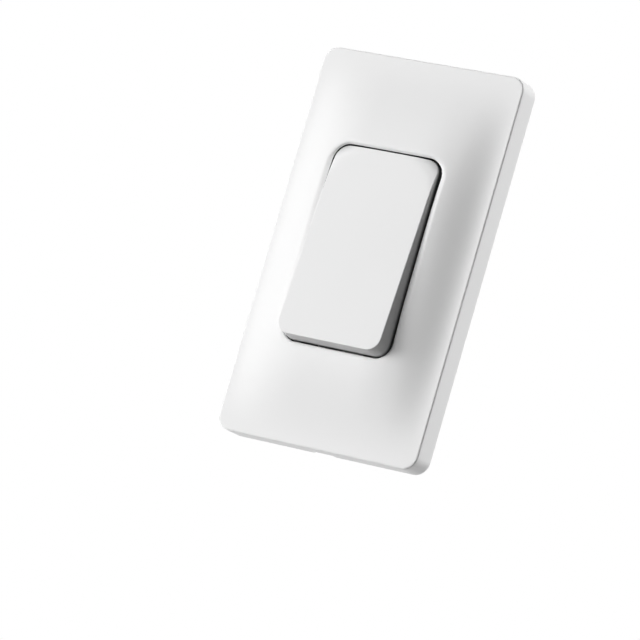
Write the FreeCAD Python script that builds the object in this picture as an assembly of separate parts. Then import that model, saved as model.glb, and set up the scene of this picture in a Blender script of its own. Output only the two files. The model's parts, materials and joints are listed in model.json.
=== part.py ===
import FreeCAD, Part
import math
import os

# A wireless wall switch without a battery. Pressing the key swings a magnet block between the
# legs of an iron core, and the coil on that core powers one short radio message.
# Everything is drawn lying on its back: x to the right, y up the wall, z out of the wall.
# stand_up() turns it into the frame of use: +Z up, the wall in the XZ plane at y = 0, front to -Y.
# Lengths are in millimetres and angles in degrees.

# Face plate
plate_width = 70.0
plate_height = 120.0
plate_corner_radius = 4.5
plate_edge_chamfer = 0.5
plate_wall = 2.0
plate_back_gap = 0.2
rim_height = 8.2
dome_rise = 5.2
dome_foot_inset = (4.1, 7.7)
dome_shoulder_inset = (7.7, 14.5)
dome_shoulder_rise = 3.3
dome_foot_radius = 11.0
dome_shoulder_radius = 13.0
window_width = 38.1
window_height = 61.4
window_corner_radius = 5.4
collar_wall = 1.4
collar_depth = 4.0
lip_land = 0.4
lip_chamfer = 0.3
notch_width = 7.6
notch_height = 2.5
notch_corner_radius = 0.9
bead_length = 8.0
bead_height = 1.4
bead_bite = 0.4
bead_level = 3.5
long_side_beads = (-40.0, 0.0, 40.0)
short_side_beads = (-20.0, 20.0)

# Rocker key, sizes with the key level
key_side_gap = 1.0
key_top_gap = 1.07
key_bottom_gap = 0.53
key_proud = 0.98
key_corner_radius = 4.2
key_edge_chamfer = 0.4
key_wall = 1.8
key_skirt_depth = 6.5
key_side_flare = 0.4
key_end_flare = 0.3
key_tilt = 4.47
key_stroke = 4.0
key_rib_thickness = 1.2
key_rib_depth = 0.7
key_rib_offset = 9.4

# Hinge of the key
hinge_inset = 7.0
trunnion_radius = 1.5
trunnion_clearance = 0.05
hinge_collar_gap = 0.4
ear_radius = 2.6
lug_thickness = 2.2
lug_radius = 3.1
lug_end_wall = 0.3

# Hooks that hold the key's free end behind the collar
hook_offset = 11.0
hook_width = 5.0
hook_wall = 1.4
hook_bite = 0.9
hook_lip = 1.0
hook_gap = 0.3

# Base plate
base_floor = 2.0
base_gap = 0.35
base_rim_wall = 1.4
base_rim_height = 5.0
bead_clearance = 0.2
wall_screw_pitch = 83.3
wall_screw_radius = 2.1
wall_boss_radius = 4.6
wall_boss_height = 1.0
rail_width = 1.2
rail_height = 1.0
rail_gap = 0.1

# Clamps on the base that hold the generator case and the circuit board
clamp_width = 6.0
clamp_wall = 1.2
clamp_lip = 0.8
clamp_bite = 0.9
clamp_gap = 0.1

# Soft stops under the key's free end
stop_side_gap = 0.9
stop_inset = 6.0
stop_width = 4.0
stop_pad_height = 1.6
stop_peg_width = 2.0
stop_peg_depth = 1.5
stop_gap = 0.15
stop_peg_clearance = 0.05

# Generator case and cover
case_key_gap = 0.5
case_length = 24.4
case_wall = 1.2
case_floor = 0.8
case_height = 7.6
cover_thickness = 0.8
cover_reach = 10.8
case_ledge_reach = 1.6
case_ledge_height = 1.6
case_ledge_offset = 11.0
bearing_wall = 1.4
bearing_width = 4.4
bearing_entry = 1.7

# Magnet block and swing arm, level
pivot_height = 6.6
pivot_radius = 1.0
pivot_clearance = 0.05
pivot_end_wall = 0.3
arm_side_gap = 0.4
arm_wall = 1.2
arm_length = 7.2
bearing_coil_gap = 1.8
magnet_length = 4.4
magnet_height = 2.8
pole_length = 19.0
pole_thickness = 0.8
arm_top_wall = 1.0
arm_bottom_wall = 1.0
spring_room = 2.6
pusher_reach = 22.0
pusher_thickness = 1.6
pusher_gap = 0.2
leaf_inset = 2.0
leaf_thickness = 0.5
leaf_overhang = 2.5
leaf_slot_gap = 0.8
leaf_clearance = 0.05
leaf_strap = 0.7
leaf_head_overhang = 1.0
leaf_head_length = 1.2

# Reset spring on the right-hand pivot
spring_wire = 0.4
spring_bore = 2.6
spring_turns = 3.5
spring_steps = 10
wire_flats = 6
spring_pitch = 0.5
spring_leg = 2.8
spring_peg_width = 0.8
spring_peg_reach = 0.9
spring_peg_gap = 0.05
spring_seat_width = 1.0
spring_seat_gap = 0.02

# Iron core and coil
core_thickness = 1.2
core_leg_width = 3.0
core_leg_place = 7.3
core_tip_inset = 1.0
coil_side_gap = 0.4
bobbin_length = 10.8
bobbin_wall = 0.6
bobbin_width = 8.4
bobbin_height = 5.8
flange_thickness = 0.7
bobbin_clearance = 0.1
winding_inset = 0.3
winding_corner = 0.8
lead_radius = 0.25
lead_spacing = 4.0
lead_slot_gap = 0.4
lead_landing = 1.6

# Circuit board and what is soldered to it
board_width = 46.0
board_length = 17.0
board_thickness = 1.2
board_lift = 1.2
board_hole_gap = 1.9
board_seat_width = 4.0
board_seat_x = 20.0
chip_size = (6.0, 3.9, 1.5)
chip_place = (-13.0, 1.5)
chip_pins = 4
bridge_size = (4.7, 3.9, 2.4)
bridge_place = (13.5, 4.0)
bridge_pins = 2
chip_pin_pitch = 1.27
bridge_pin_pitch = 2.54
pin_width = 0.4
pin_thickness = 0.25
pin_reach = 1.0
crystal_size = (5.0, 3.2, 0.8)
crystal_place = (-13.0, -5.0)
crystal_lid_inset = 0.35
crystal_lid_height = 0.3
capacitor_radius = 2.5
capacitor_height = 4.0
capacitor_base = (5.3, 5.3, 0.6)
capacitor_base_chamfer = 1.0
capacitor_place = (18.2, -4.4)

# Antenna strip, a quarter wave long, standing on edge in its clips
antenna_thickness = 0.4
antenna_height = 2.0
antenna_bend = 6.0
antenna_side_gap = 3.25
antenna_end_gap = 5.25
antenna_board_inset = 2.85
antenna_foot = 7.5
antenna_free_rise = 28.0
clip_length = 4.0
clip_wall = 0.8
clip_clearance = 0.05
clip_grip = 1.2
clip_rises_left = (71.0, 41.0, 11.0)
clip_rises_right = (17.0,)
clip_offset = 14.0

# How far a cutting tool runs past the face that it opens
overcut = 1.0

# Length of the control arms that make a cubic curve of unit radius follow a quarter circle
quarter_circle = 0.5523

# Places worked out from the sizes above
lip_level = rim_height + dome_rise
collar_level = lip_level - collar_depth
inner_width = plate_width - 2 * plate_wall
inner_height = plate_height - 2 * plate_wall
inner_corner_radius = plate_corner_radius - plate_wall
key_width = window_width - 2 * key_side_gap
key_height = window_height - key_top_gap - key_bottom_gap
key_centre_y = (key_bottom_gap - key_top_gap) / 2
key_level = lip_level + key_proud
hinge_y = window_height / 2 - hinge_inset
hinge_z = collar_level - hinge_collar_gap - trunnion_radius
base_width = inner_width - 2 * base_gap
base_height = inner_height - 2 * base_gap
base_corner_radius = inner_corner_radius - base_gap
stop_x = key_width / 2 - key_wall - stop_side_gap - stop_width / 2
stop_y = -window_height / 2 + stop_inset
case_width = key_width - 2 * key_wall - 2 * case_key_gap
case_floor_level = base_floor + case_floor
case_top = base_floor + case_height
wall_face_x = -case_width / 2 + case_wall
arm_left = wall_face_x + arm_side_gap
block_left = arm_left + arm_wall
coil_place = case_width / 2 - case_wall - coil_side_gap - bobbin_width / 2
bearing_left = coil_place - bobbin_width / 2 - bearing_coil_gap - bearing_wall
arm_right = bearing_left - spring_room
block_right = arm_right - arm_wall
block_x = (block_left + block_right) / 2
leaf_width = block_right - block_left - 2 * leaf_inset
pole_level = magnet_height / 2
arm_top = pole_level + pole_thickness + arm_top_wall
leaf_top = arm_top + leaf_thickness
arm_bottom = pole_level + pole_thickness + arm_bottom_wall
pusher_y = -pusher_reach
key_reach = hinge_y - pusher_y
pusher_travel = key_reach * math.sin(math.radians(key_stroke))
arm_turn = 2 * math.degrees(math.asin(pusher_travel / (2 * pusher_reach)))
board_y = wall_screw_pitch / 2
board_level = base_floor + board_lift
board_top = board_level + board_thickness
antenna_side = base_width / 2 - base_rim_wall - antenna_side_gap
antenna_low = -base_height / 2 + base_rim_wall + antenna_end_gap
antenna_high = board_y - board_length / 2 + antenna_board_inset
key_rest_shift = -key_tilt
arm_rest_shift = -arm_turn / 2

X = FreeCAD.Vector(1, 0, 0)
Y = FreeCAD.Vector(0, 1, 0)
Z = FreeCAD.Vector(0, 0, 1)


def point(x, y, z):
    return FreeCAD.Vector(x, y, z)


def block(x0, x1, y0, y1, z0, z1):
    """Box between two corners."""
    return Part.makeBox(x1 - x0, y1 - y0, z1 - z0, point(x0, y0, z0))


def rod(radius, start, end):
    """Round bar from one point to another."""
    return Part.makeCylinder(radius, (end - start).Length, start, end - start)


def joined(shapes):
    """One clean solid from overlapping shapes."""
    return shapes[0].multiFuse(shapes[1:]).removeSplitter()


def rounded_outline(width, height, radius, level, centre=(0.0, 0.0)):
    """Closed wire of a rectangle with round corners, lying at one level."""
    cx, cy = centre
    inner_x = width / 2 - radius
    inner_y = height / 2 - radius
    arcs = []
    for sx, sy, turn in ((1, 1, 0), (-1, 1, 90), (-1, -1, 180), (1, -1, 270)):
        ends = []
        for angle in (turn, turn + 45, turn + 90):
            dx = radius * math.cos(math.radians(angle))
            dy = radius * math.sin(math.radians(angle))
            ends.append(point(cx + sx * inner_x + dx, cy + sy * inner_y + dy, level))
        arcs.append(ends)
    edges = []
    for index, ends in enumerate(arcs):
        edges.append(Part.Arc(*ends).toShape())
        edges.append(Part.makeLine(ends[2], arcs[(index + 1) % 4][0]))
    return Part.Wire(edges)


def rounded_block(width, height, radius, z0, z1, centre=(0.0, 0.0)):
    """Upright block with a round-cornered outline."""
    return Part.Face(rounded_outline(width, height, radius, z0, centre)).extrude(Z * (z1 - z0))


def drafted_block(low, high, corner_radius, middle_y):
    """Block between two rectangles (width, height, level), with its four slanting corners rounded."""
    low_x, low_y, low_z = low[0] / 2, low[1] / 2, low[2]
    high_x, high_y, high_z = high[0] / 2, high[1] / 2, high[2]
    solid = Part.makeWedge(-low_x, low_z, -low_y, -high_y, -high_x, low_x, high_z, low_y, high_y, high_x)
    solid.rotate(point(0, 0, 0), X, 90)
    solid.translate(Y * middle_y)
    tall = (high_z - low_z) / 2
    return solid.makeFillet(corner_radius, [e for e in solid.Edges if e.BoundBox.ZLength > tall])


def turned_about_hinge(y, z, angle):
    """Place of a point of the level key after a turn about the hinge."""
    dy = y - hinge_y
    dz = z - hinge_z
    c = math.cos(math.radians(angle))
    s = math.sin(math.radians(angle))
    return hinge_y + dy * c - dz * s, hinge_z + dy * s + dz * c


def bezier_patch(rows):
    """Smooth patch from rows of four control points."""
    patch = Part.BezierSurface()
    patch.increase(len(rows) - 1, 3)
    for u, row in enumerate(rows):
        for v, pole in enumerate(row):
            patch.setPole(u + 1, v + 1, pole)
    return patch.toShape()


def crown(outlines):
    """Domed solid shaped by four control outlines (width, height, radius, level), from foot to lip.

    Each quarter circle of an outline is a cubic curve, so the eight patches meet without a crease.
    """
    halves = [(width / 2, height / 2, radius, level) for width, height, radius, level in outlines]
    free = 1.0 - quarter_circle
    corner_arms = ((0.0, 1.0), (0.0, free), (free, 0.0), (1.0, 0.0))
    faces = []
    for sx, sy in ((1, 1), (-1, 1), (-1, -1), (1, -1)):
        rows = []
        for along_x, along_y in corner_arms:
            rows.append([point(sx * (a - r * along_x), sy * (b - r * along_y), z) for a, b, r, z in halves])
        faces.append(bezier_patch(rows))
    for side in (-1, 1):
        faces.append(bezier_patch([[point(side * a, end * (b - r), z) for a, b, r, z in halves]
                                   for end in (-1, 1)]))
        faces.append(bezier_patch([[point(end * (a - r), side * b, z) for a, b, r, z in halves]
                                   for end in (-1, 1)]))
    faces.append(flat_cap(outlines[0]))
    faces.append(flat_cap(outlines[3]))
    shell = Part.makeCompound(faces)
    shell.sewShape()
    return Part.Solid(shell.Shells[0])


def flat_cap(outline):
    """Flat face inside an outline whose corners are the same cubic curves as the crown's."""
    width, height, radius, level = outline
    a = width / 2
    b = height / 2
    corners = []
    for sx, sy in ((1, 1), (-1, 1), (-1, -1), (1, -1)):
        poles = [point(sx * a, sy * (b - radius), level),
                 point(sx * a, sy * (b - radius * (1.0 - quarter_circle)), level),
                 point(sx * (a - radius * (1.0 - quarter_circle)), sy * b, level),
                 point(sx * (a - radius), sy * b, level)]
        if sx * sy < 0:
            poles.reverse()
        corners.append(poles)
    edges = []
    for index, poles in enumerate(corners):
        curve = Part.BezierCurve()
        curve.setPoles(poles)
        edges.append(curve.toShape())
        edges.append(Part.makeLine(poles[3], corners[(index + 1) % 4][0]))
    return Part.Face(Part.Wire(edges))


def bead(x, y, turn):
    """Snap bead on the inside of one plate wall: a ridge with two slopes, standing on the wall."""
    reach = base_gap + bead_bite
    ridge = Part.makePolygon([
        point(0, -bead_length / 2, bead_level - bead_height / 2),
        point(-reach, -bead_length / 2, bead_level),
        point(0, -bead_length / 2, bead_level + bead_height / 2),
        point(plate_wall / 2, -bead_length / 2, bead_level),
        point(0, -bead_length / 2, bead_level - bead_height / 2)])
    solid = Part.Face(ridge).extrude(Y * bead_length)
    solid.rotate(point(0, 0, 0), Z, turn)
    solid.translate(point(x, y, 0))
    return solid


def bead_places():
    """Middle of each snap bead on the inner walls, with the turn of its wall."""
    places = []
    for y in long_side_beads:
        places.append((inner_width / 2, y, 0))
        places.append((-inner_width / 2, y, 180))
    for x in short_side_beads:
        places.append((x, inner_height / 2, 90))
        places.append((x, -inner_height / 2, 270))
    return places


def hinge_lug(side):
    """Ear that hangs from the collar and carries one trunnion of the key."""
    inner = window_width / 2
    outer = inner + lug_thickness
    low, high = sorted((side * inner, side * outer))
    plate = block(low, high, hinge_y - lug_radius, hinge_y + lug_radius, hinge_z, collar_level + collar_wall)
    end = rod(lug_radius, point(low, hinge_y, hinge_z), point(high, hinge_y, hinge_z))
    return plate.fuse(end)


def plate_outside():
    """Outer form of the face plate: upright sides, a broken edge and the crown."""
    sides = rounded_block(plate_width, plate_height, plate_corner_radius, plate_back_gap, rim_height)
    front_edges = [e for e in sides.Edges if all(abs(v.Z - rim_height) < 1e-6 for v in e.Vertexes)]
    sides = sides.makeChamfer(plate_edge_chamfer, front_edges)
    foot_width = plate_width - 2 * plate_edge_chamfer
    foot_height = plate_height - 2 * plate_edge_chamfer
    outlines = [(foot_width, foot_height, plate_corner_radius - plate_edge_chamfer, rim_height)]
    side_inset, end_inset = dome_foot_inset
    outlines.append((foot_width - 2 * side_inset, foot_height - 2 * end_inset,
                     dome_foot_radius, rim_height))
    side_inset, end_inset = dome_shoulder_inset
    outlines.append((foot_width - 2 * side_inset, foot_height - 2 * end_inset,
                     dome_shoulder_radius, rim_height + dome_shoulder_rise))
    outlines.append((window_width + 2 * lip_land, window_height + 2 * lip_land,
                     window_corner_radius + lip_land, lip_level))
    return sides.fuse(crown(outlines)).removeSplitter()


def plate_cavity(collar):
    """Hollow behind the face plate: upright sides, then a plain taper up to the outside of the collar."""
    level = rim_height - plate_wall
    sides = rounded_block(inner_width, inner_height, inner_corner_radius, 0.0, level)
    taper = drafted_block((inner_width, inner_height, level), (collar[0], collar[1], lip_level - plate_wall),
                          inner_corner_radius, 0.0)
    return sides.fuse(taper)


def pry_notch():
    """Cutter for the slot in the lower edge, where a screwdriver lifts the face plate off."""
    notch = block(-notch_width / 2, notch_width / 2,
                  -plate_height / 2 - overcut, -inner_height / 2 + base_gap,
                  -overcut, plate_back_gap + notch_height)
    upper_edges = [e for e in notch.Edges
                   if e.BoundBox.YLength > plate_wall and e.BoundBox.ZMin > plate_back_gap]
    return notch.makeFillet(notch_corner_radius, upper_edges)


def on_window(edge):
    """Whether an edge lies on the window's outline."""
    half_width = window_width / 2 + 1e-6
    half_height = window_height / 2 + 1e-6
    return all(abs(v.X) < half_width and abs(v.Y) < half_height for v in edge.Vertexes)


def face_plate():
    """Domed front shell with the window, its collar, the hinge lugs, snap beads and pry notch."""
    collar = (window_width + 2 * collar_wall, window_height + 2 * collar_wall,
              window_corner_radius + collar_wall)
    shell = plate_outside().cut(plate_cavity(collar))
    ring = rounded_block(*collar, collar_level, lip_level - plate_wall / 2)
    beads = [bead(*place) for place in bead_places()]
    shell = joined([shell, ring, hinge_lug(-1), hinge_lug(1)] + beads)
    shell = shell.cut(rounded_block(window_width, window_height, window_corner_radius,
                                    0.0, lip_level + overcut))
    lip_edges = [e for e in shell.Edges if all(abs(v.Z - lip_level) < 1e-6 for v in e.Vertexes)]
    shell = shell.makeChamfer(lip_chamfer, [e for e in lip_edges if on_window(e)])
    bore_end = window_width / 2 + lug_thickness
    pivots = rod(trunnion_radius + trunnion_clearance, point(-bore_end, hinge_y, hinge_z),
                 point(bore_end, hinge_y, hinge_z))
    return shell.cut(pivots).cut(pry_notch())


def key_body():
    """Drafted shell of the key, open at the back, with its front edge broken."""
    skirt_level = key_level - key_skirt_depth
    skirt_width = key_width + 2 * key_side_flare
    skirt_height = key_height + 2 * key_end_flare
    outside = drafted_block((skirt_width, skirt_height, skirt_level), (key_width, key_height, key_level),
                            key_corner_radius, key_centre_y)
    front = [e for e in outside.Edges if all(abs(v.Z - key_level) < 1e-6 for v in e.Vertexes)]
    outside = outside.makeChamfer(key_edge_chamfer, front)
    wall = 2 * key_wall
    hollow = drafted_block((skirt_width - wall, skirt_height - wall, skirt_level),
                           (key_width - wall, key_height - wall, key_level - key_wall),
                           key_corner_radius - key_wall, key_centre_y)
    return outside.cut(hollow)


def key_ear(side):
    """Ear inside one side wall of the key, with its trunnion."""
    outer = key_width / 2
    inner = outer - key_wall
    tip = window_width / 2 + lug_thickness - lug_end_wall
    low, high = sorted((side * inner, side * outer))
    web = block(low, high, hinge_y - ear_radius, hinge_y + ear_radius, hinge_z, key_level - key_wall / 2)
    end = rod(ear_radius, point(low, hinge_y, hinge_z), point(high, hinge_y, hinge_z))
    trunnion = rod(trunnion_radius, point(side * inner, hinge_y, hinge_z),
                   point(side * tip, hinge_y, hinge_z))
    return joined([web, end, trunnion])


def key_hook(side):
    """Hook on the key's free end, whose lip rests behind the collar."""
    low = side * hook_offset - hook_width / 2
    high = low + hook_width
    end_y = key_centre_y - key_height / 2 - key_end_flare
    lip_top = turned_about_hinge(-window_height / 2, collar_level - hook_gap, key_tilt)[1]
    lip_end = -window_height / 2 - hook_bite
    arm = block(low, high, end_y + key_end_flare, end_y + key_end_flare + hook_wall, lip_top - hook_lip,
                key_level - key_wall / 2)
    lip = block(low, high, lip_end, end_y + key_end_flare + hook_wall, lip_top - hook_lip, lip_top)
    return arm.fuse(lip)


def key_pusher():
    """Rib that presses the leaf spring, with a round nose, as long as the resting leaf leaves room for."""
    turn = math.radians(arm_rest_shift)
    nose_y = -pusher_reach * math.cos(turn) - leaf_top * math.sin(turn)
    nose_z = pivot_height - pusher_reach * math.sin(turn) + leaf_top * math.cos(turn) + pusher_gap
    level_y, level_z = turned_about_hinge(nose_y, nose_z, key_tilt)
    radius = pusher_thickness / 2
    low = block_x - leaf_width / 2
    high = block_x + leaf_width / 2
    rib = block(low, high, level_y - radius, level_y + radius, level_z + radius, key_level - key_wall / 2)
    nose = rod(radius, point(low, level_y, level_z + radius), point(high, level_y, level_z + radius))
    return rib.fuse(nose)


def rocker_key():
    """Press key with ears, hooks, two stiffening ribs and the pusher, tilted out to its rest place."""
    underside = key_level - key_wall
    rib_half = key_height / 2 - 2 * key_wall
    pieces = [key_body(), key_pusher()]
    for side in (-1, 1):
        pieces.append(key_ear(side))
        pieces.append(key_hook(side))
        rib_x = side * key_rib_offset
        pieces.append(block(rib_x - key_rib_thickness / 2, rib_x + key_rib_thickness / 2,
                            key_centre_y - rib_half, key_centre_y + rib_half,
                            underside - key_rib_depth, underside + key_wall / 2))
    key = joined(pieces)
    key.rotate(point(0, hinge_y, hinge_z), X, key_rest_shift)
    return key


def clamp(x, y, turn, top):
    """Springy post on the base whose lip grips an edge from outside, just above a level."""
    half = clamp_width / 2
    outer = clamp_gap + clamp_wall
    low = top + clamp_gap
    high = low + clamp_lip
    post = block(clamp_gap, outer, -half, half, base_floor / 2, high)
    solid = post.fuse(block(-clamp_bite, outer, -half, half, low, high))
    solid.rotate(point(0, 0, 0), Z, turn)
    solid.translate(point(x, y, 0))
    return solid


def case_ledge_places():
    """Middles of the outer edges of the case's two ledges, with the way they face."""
    reach = case_length / 2 + case_ledge_reach
    return ((-case_ledge_offset, reach, 90), (case_ledge_offset, -reach, 270))


def clamps():
    """Clamps for the two ledges of the case and the two ends of the board."""
    solids = [clamp(x, y, turn, base_floor + case_ledge_height) for x, y, turn in case_ledge_places()]
    solids.append(clamp(board_width / 2, board_y, 0, board_top))
    solids.append(clamp(-board_width / 2, board_y, 180, board_top))
    return solids


def stop_places():
    """Middles of the two soft stops."""
    return ((-stop_x, stop_y), (stop_x, stop_y))


def square_post(x, y, width, z0, z1):
    """Upright square post about one point."""
    half = width / 2
    return block(x - half, x + half, y - half, y + half, z0, z1)


def stop_top():
    """Level of the soft stops: just under the pressed key."""
    y, z = turned_about_hinge(stop_y + stop_width / 2, key_level - key_wall, key_stroke - key_tilt)
    return z - stop_gap


def antenna_clip(x, y, along_x):
    """Slotted block that grips the lower edge of the antenna strip."""
    room = antenna_thickness / 2 + clip_clearance
    half = room + clip_wall
    long = clip_length / 2
    top = board_top + clip_grip
    if along_x:
        outer = block(x - long, x + long, y - half, y + half, base_floor / 2, top)
        slot = block(x - long, x + long, y - room, y + room, board_top - clip_clearance, top)
    else:
        outer = block(x - half, x + half, y - long, y + long, base_floor / 2, top)
        slot = block(x - room, x + room, y - long, y + long, board_top - clip_clearance, top)
    return outer.cut(slot)


def antenna_clips():
    """All clips along the antenna strip."""
    clips = []
    for rise in clip_rises_left:
        clips.append(antenna_clip(-antenna_side, antenna_low + rise, False))
    for x in (-clip_offset, clip_offset):
        clips.append(antenna_clip(x, antenna_low, True))
    for rise in clip_rises_right:
        clips.append(antenna_clip(antenna_side, antenna_low + rise, False))
    return clips


def base_plate():
    """Back plate with its rim, wall screw bosses, rails, stop posts, board seats, clamps and clips."""
    tray = rounded_block(base_width, base_height, base_corner_radius, 0.0, base_rim_height)
    tray = tray.cut(rounded_block(base_width - 2 * base_rim_wall, base_height - 2 * base_rim_wall,
                                  base_corner_radius - base_rim_wall, base_floor, base_rim_height + overcut))
    pieces = [tray]
    holes = []
    for y in (-wall_screw_pitch / 2, wall_screw_pitch / 2):
        pieces.append(rod(wall_boss_radius, point(0, y, base_floor / 2),
                          point(0, y, base_floor + wall_boss_height)))
        holes.append(rod(wall_screw_radius, point(0, y, -overcut), point(0, y, base_rim_height)))
    rail_x = case_width / 2 + rail_gap
    for side in (-1, 1):
        low, high = sorted((side * rail_x, side * (rail_x + rail_width)))
        pieces.append(block(low, high, -case_length / 2, case_length / 2, base_floor / 2,
                            base_floor + rail_height))
    post_top = stop_top() - stop_pad_height
    for x, y in stop_places():
        pieces.append(square_post(x, y, stop_width, base_floor / 2, post_top))
        holes.append(square_post(x, y, stop_peg_width + 2 * stop_peg_clearance,
                                 post_top - stop_peg_depth - stop_peg_clearance, post_top + overcut))
    for x in (-board_seat_x, board_seat_x):
        pieces.append(square_post(x, board_y, board_seat_width, base_floor / 2, board_level))
    base = joined(pieces + clamps() + antenna_clips())
    for x, y, turn in bead_places():
        window_x = 2 * base_rim_wall + 2 * base_gap
        window_y = bead_length + 2 * bead_clearance
        if turn in (90, 270):
            window_x, window_y = window_y, window_x
        half_height = bead_height / 2 + bead_clearance
        holes.append(block(x - window_x / 2, x + window_x / 2, y - window_y / 2, y + window_y / 2,
                           bead_level - half_height, bead_level + half_height))
    return base.cut(Part.makeCompound(holes))


def stop_pads():
    """Two soft pads, each pegged into its post."""
    top = stop_top()
    foot = top - stop_pad_height
    pads = []
    for x, y in stop_places():
        pads.append(joined([square_post(x, y, stop_width, foot, top),
                            square_post(x, y, stop_peg_width, foot - stop_peg_depth, top)]))
    return Part.makeCompound(pads)


def keyhole(x0, x1):
    """Round bearing hole for the swing arm with a narrower way in from the front."""
    bore = rod(pivot_radius + pivot_clearance, point(x0, 0, pivot_height), point(x1, 0, pivot_height))
    entry = block(x0, x1, -bearing_entry / 2, bearing_entry / 2, pivot_height, case_top + overcut)
    return bore.fuse(entry)


def core_supports(low, high):
    """Two pillars at the outer corners of the iron core, between two levels."""
    pillars = []
    outer = core_leg_place + core_leg_width / 2
    for side in (-1, 1):
        y0, y1 = sorted((side * (outer - core_leg_width / 2), side * outer))
        pillars.append(block(coil_place - core_leg_width / 2, coil_place + core_leg_width / 2,
                             y0, y1, low, high))
    return pillars


def generator_case():
    """Tray with two clamping ledges, a bearing in one wall, a bearing post and seats for the core."""
    half_width = case_width / 2
    half_length = case_length / 2
    tray = block(-half_width, half_width, -half_length, half_length, base_floor, case_top)
    room = block(-half_width + case_wall, half_width - case_wall, -half_length + case_wall,
                 half_length - case_wall, case_floor_level, case_top + overcut)
    tray = tray.cut(room)
    post = block(bearing_left, bearing_left + bearing_wall, -bearing_width / 2, bearing_width / 2,
                 base_floor, case_top)
    spring_level = pivot_height - spring_mean_radius() - spring_wire / 2
    spring_end = spring_ends()[1]
    seat = block(spring_end - spring_seat_width / 2, bearing_left + bearing_wall,
                 -spring_leg, -spring_leg + spring_seat_width, base_floor, spring_level - spring_seat_gap)
    pieces = [tray, post, seat]
    pieces += core_supports(base_floor, pivot_height - core_thickness / 2)
    for x, y, turn in case_ledge_places():
        y0, y1 = sorted((math.copysign(half_length - case_wall / 2, y), y))
        pieces.append(block(x - clamp_width / 2, x + clamp_width / 2, y0, y1,
                            base_floor, base_floor + case_ledge_height))
    case = joined(pieces)
    cuts = [keyhole(-half_width - overcut, wall_face_x),
            keyhole(bearing_left, bearing_left + bearing_wall)]
    leaf_low = pivot_height + arm_top - half_length * math.sin(math.radians(arm_turn / 2))
    cuts.append(block(block_x - leaf_width / 2 - leaf_slot_gap, block_x + leaf_width / 2 + leaf_slot_gap,
                      -half_length - overcut, -half_length + case_wall,
                      leaf_low - leaf_slot_gap, case_top + overcut))
    lead_half = lead_spacing / 2 + lead_radius + lead_slot_gap
    lead_top = board_top + 2 * lead_radius + lead_slot_gap
    cuts.append(block(coil_place - lead_half, coil_place + lead_half, half_length - case_wall,
                      half_length + overcut, case_floor_level, lead_top))
    return case.cut(Part.makeCompound(cuts))


def generator_cover():
    """Cover over the coil side of the case, with two feet that clamp the core on its seats."""
    half_length = case_length / 2
    lid = block(case_width / 2 - cover_reach, case_width / 2, -half_length, half_length,
                case_top, case_top + cover_thickness)
    feet = core_supports(pivot_height + core_thickness / 2, case_top + cover_thickness / 2)
    return joined([lid] + feet)


def core_half(side):
    """L-shaped half of the iron core: one leg and half of the bar inside the coil."""
    low = pivot_height - core_thickness / 2
    high = pivot_height + core_thickness / 2
    bar_left = coil_place - core_leg_width / 2
    bar_right = coil_place + core_leg_width / 2
    inner = core_leg_place - core_leg_width / 2
    outer = core_leg_place + core_leg_width / 2
    leg_y = sorted((side * inner, side * outer))
    bar_y = sorted((0.0, side * outer))
    leg = block(block_left + core_tip_inset, bar_right, leg_y[0], leg_y[1], low, high)
    bar = block(bar_left, bar_right, bar_y[0], bar_y[1], low, high)
    return joined([leg, bar])


def coil_box(width, height, y0, y1):
    """Block along the coil, centred on the core's bar."""
    return block(coil_place - width / 2, coil_place + width / 2, y0, y1,
                 pivot_height - height / 2, pivot_height + height / 2)


def coil_tube_size():
    """Outer width and height of the bobbin's tube."""
    grow = 2 * (bobbin_wall + bobbin_clearance)
    return core_leg_width + grow, core_thickness + grow


def coil_bobbin():
    """Tube round the core's bar with a flange at each end."""
    half = bobbin_length / 2
    tube_width, tube_height = coil_tube_size()
    tube = coil_box(tube_width, tube_height, -half, half)
    lower = coil_box(bobbin_width, bobbin_height, -half, -half + flange_thickness)
    upper = coil_box(bobbin_width, bobbin_height, half - flange_thickness, half)
    bore = coil_box(core_leg_width + 2 * bobbin_clearance, core_thickness + 2 * bobbin_clearance, -half, half)
    return joined([tube, lower, upper]).cut(bore)


def coil_winding():
    """Copper winding between the flanges, with rounded corners."""
    half = bobbin_length / 2 - flange_thickness
    tube_width, tube_height = coil_tube_size()
    body = coil_box(bobbin_width - 2 * winding_inset, bobbin_height - 2 * winding_inset, -half, half)
    body = body.makeFillet(winding_corner, [e for e in body.Edges if e.BoundBox.YLength > half])
    return body.cut(coil_box(tube_width, tube_height, -half, half))


def coil_leads():
    """Two straight wires from the bobbin's upper flange to the circuit board."""
    level = board_top + lead_radius
    end_y = board_y - board_length / 2 + lead_landing
    wires = []
    for side in (-1, 1):
        x = coil_place + side * lead_spacing / 2
        section = wire_section(point(x, bobbin_length / 2, level), Y, lead_radius)
        wires.append(Part.Face(section).extrude(Y * (end_y - bobbin_length / 2)))
    return Part.makeCompound(wires)


def at_arm_rest(shape):
    """Turns a level piece of the swing arm to its rest place."""
    shape.rotate(point(0, 0, pivot_height), X, arm_rest_shift)
    return shape


def arm_box(x0, x1, y0, y1, z0, z1):
    """Block on the level arm, with heights from the pivot."""
    return block(x0, x1, y0, y1, pivot_height + z0, pivot_height + z1)


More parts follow.
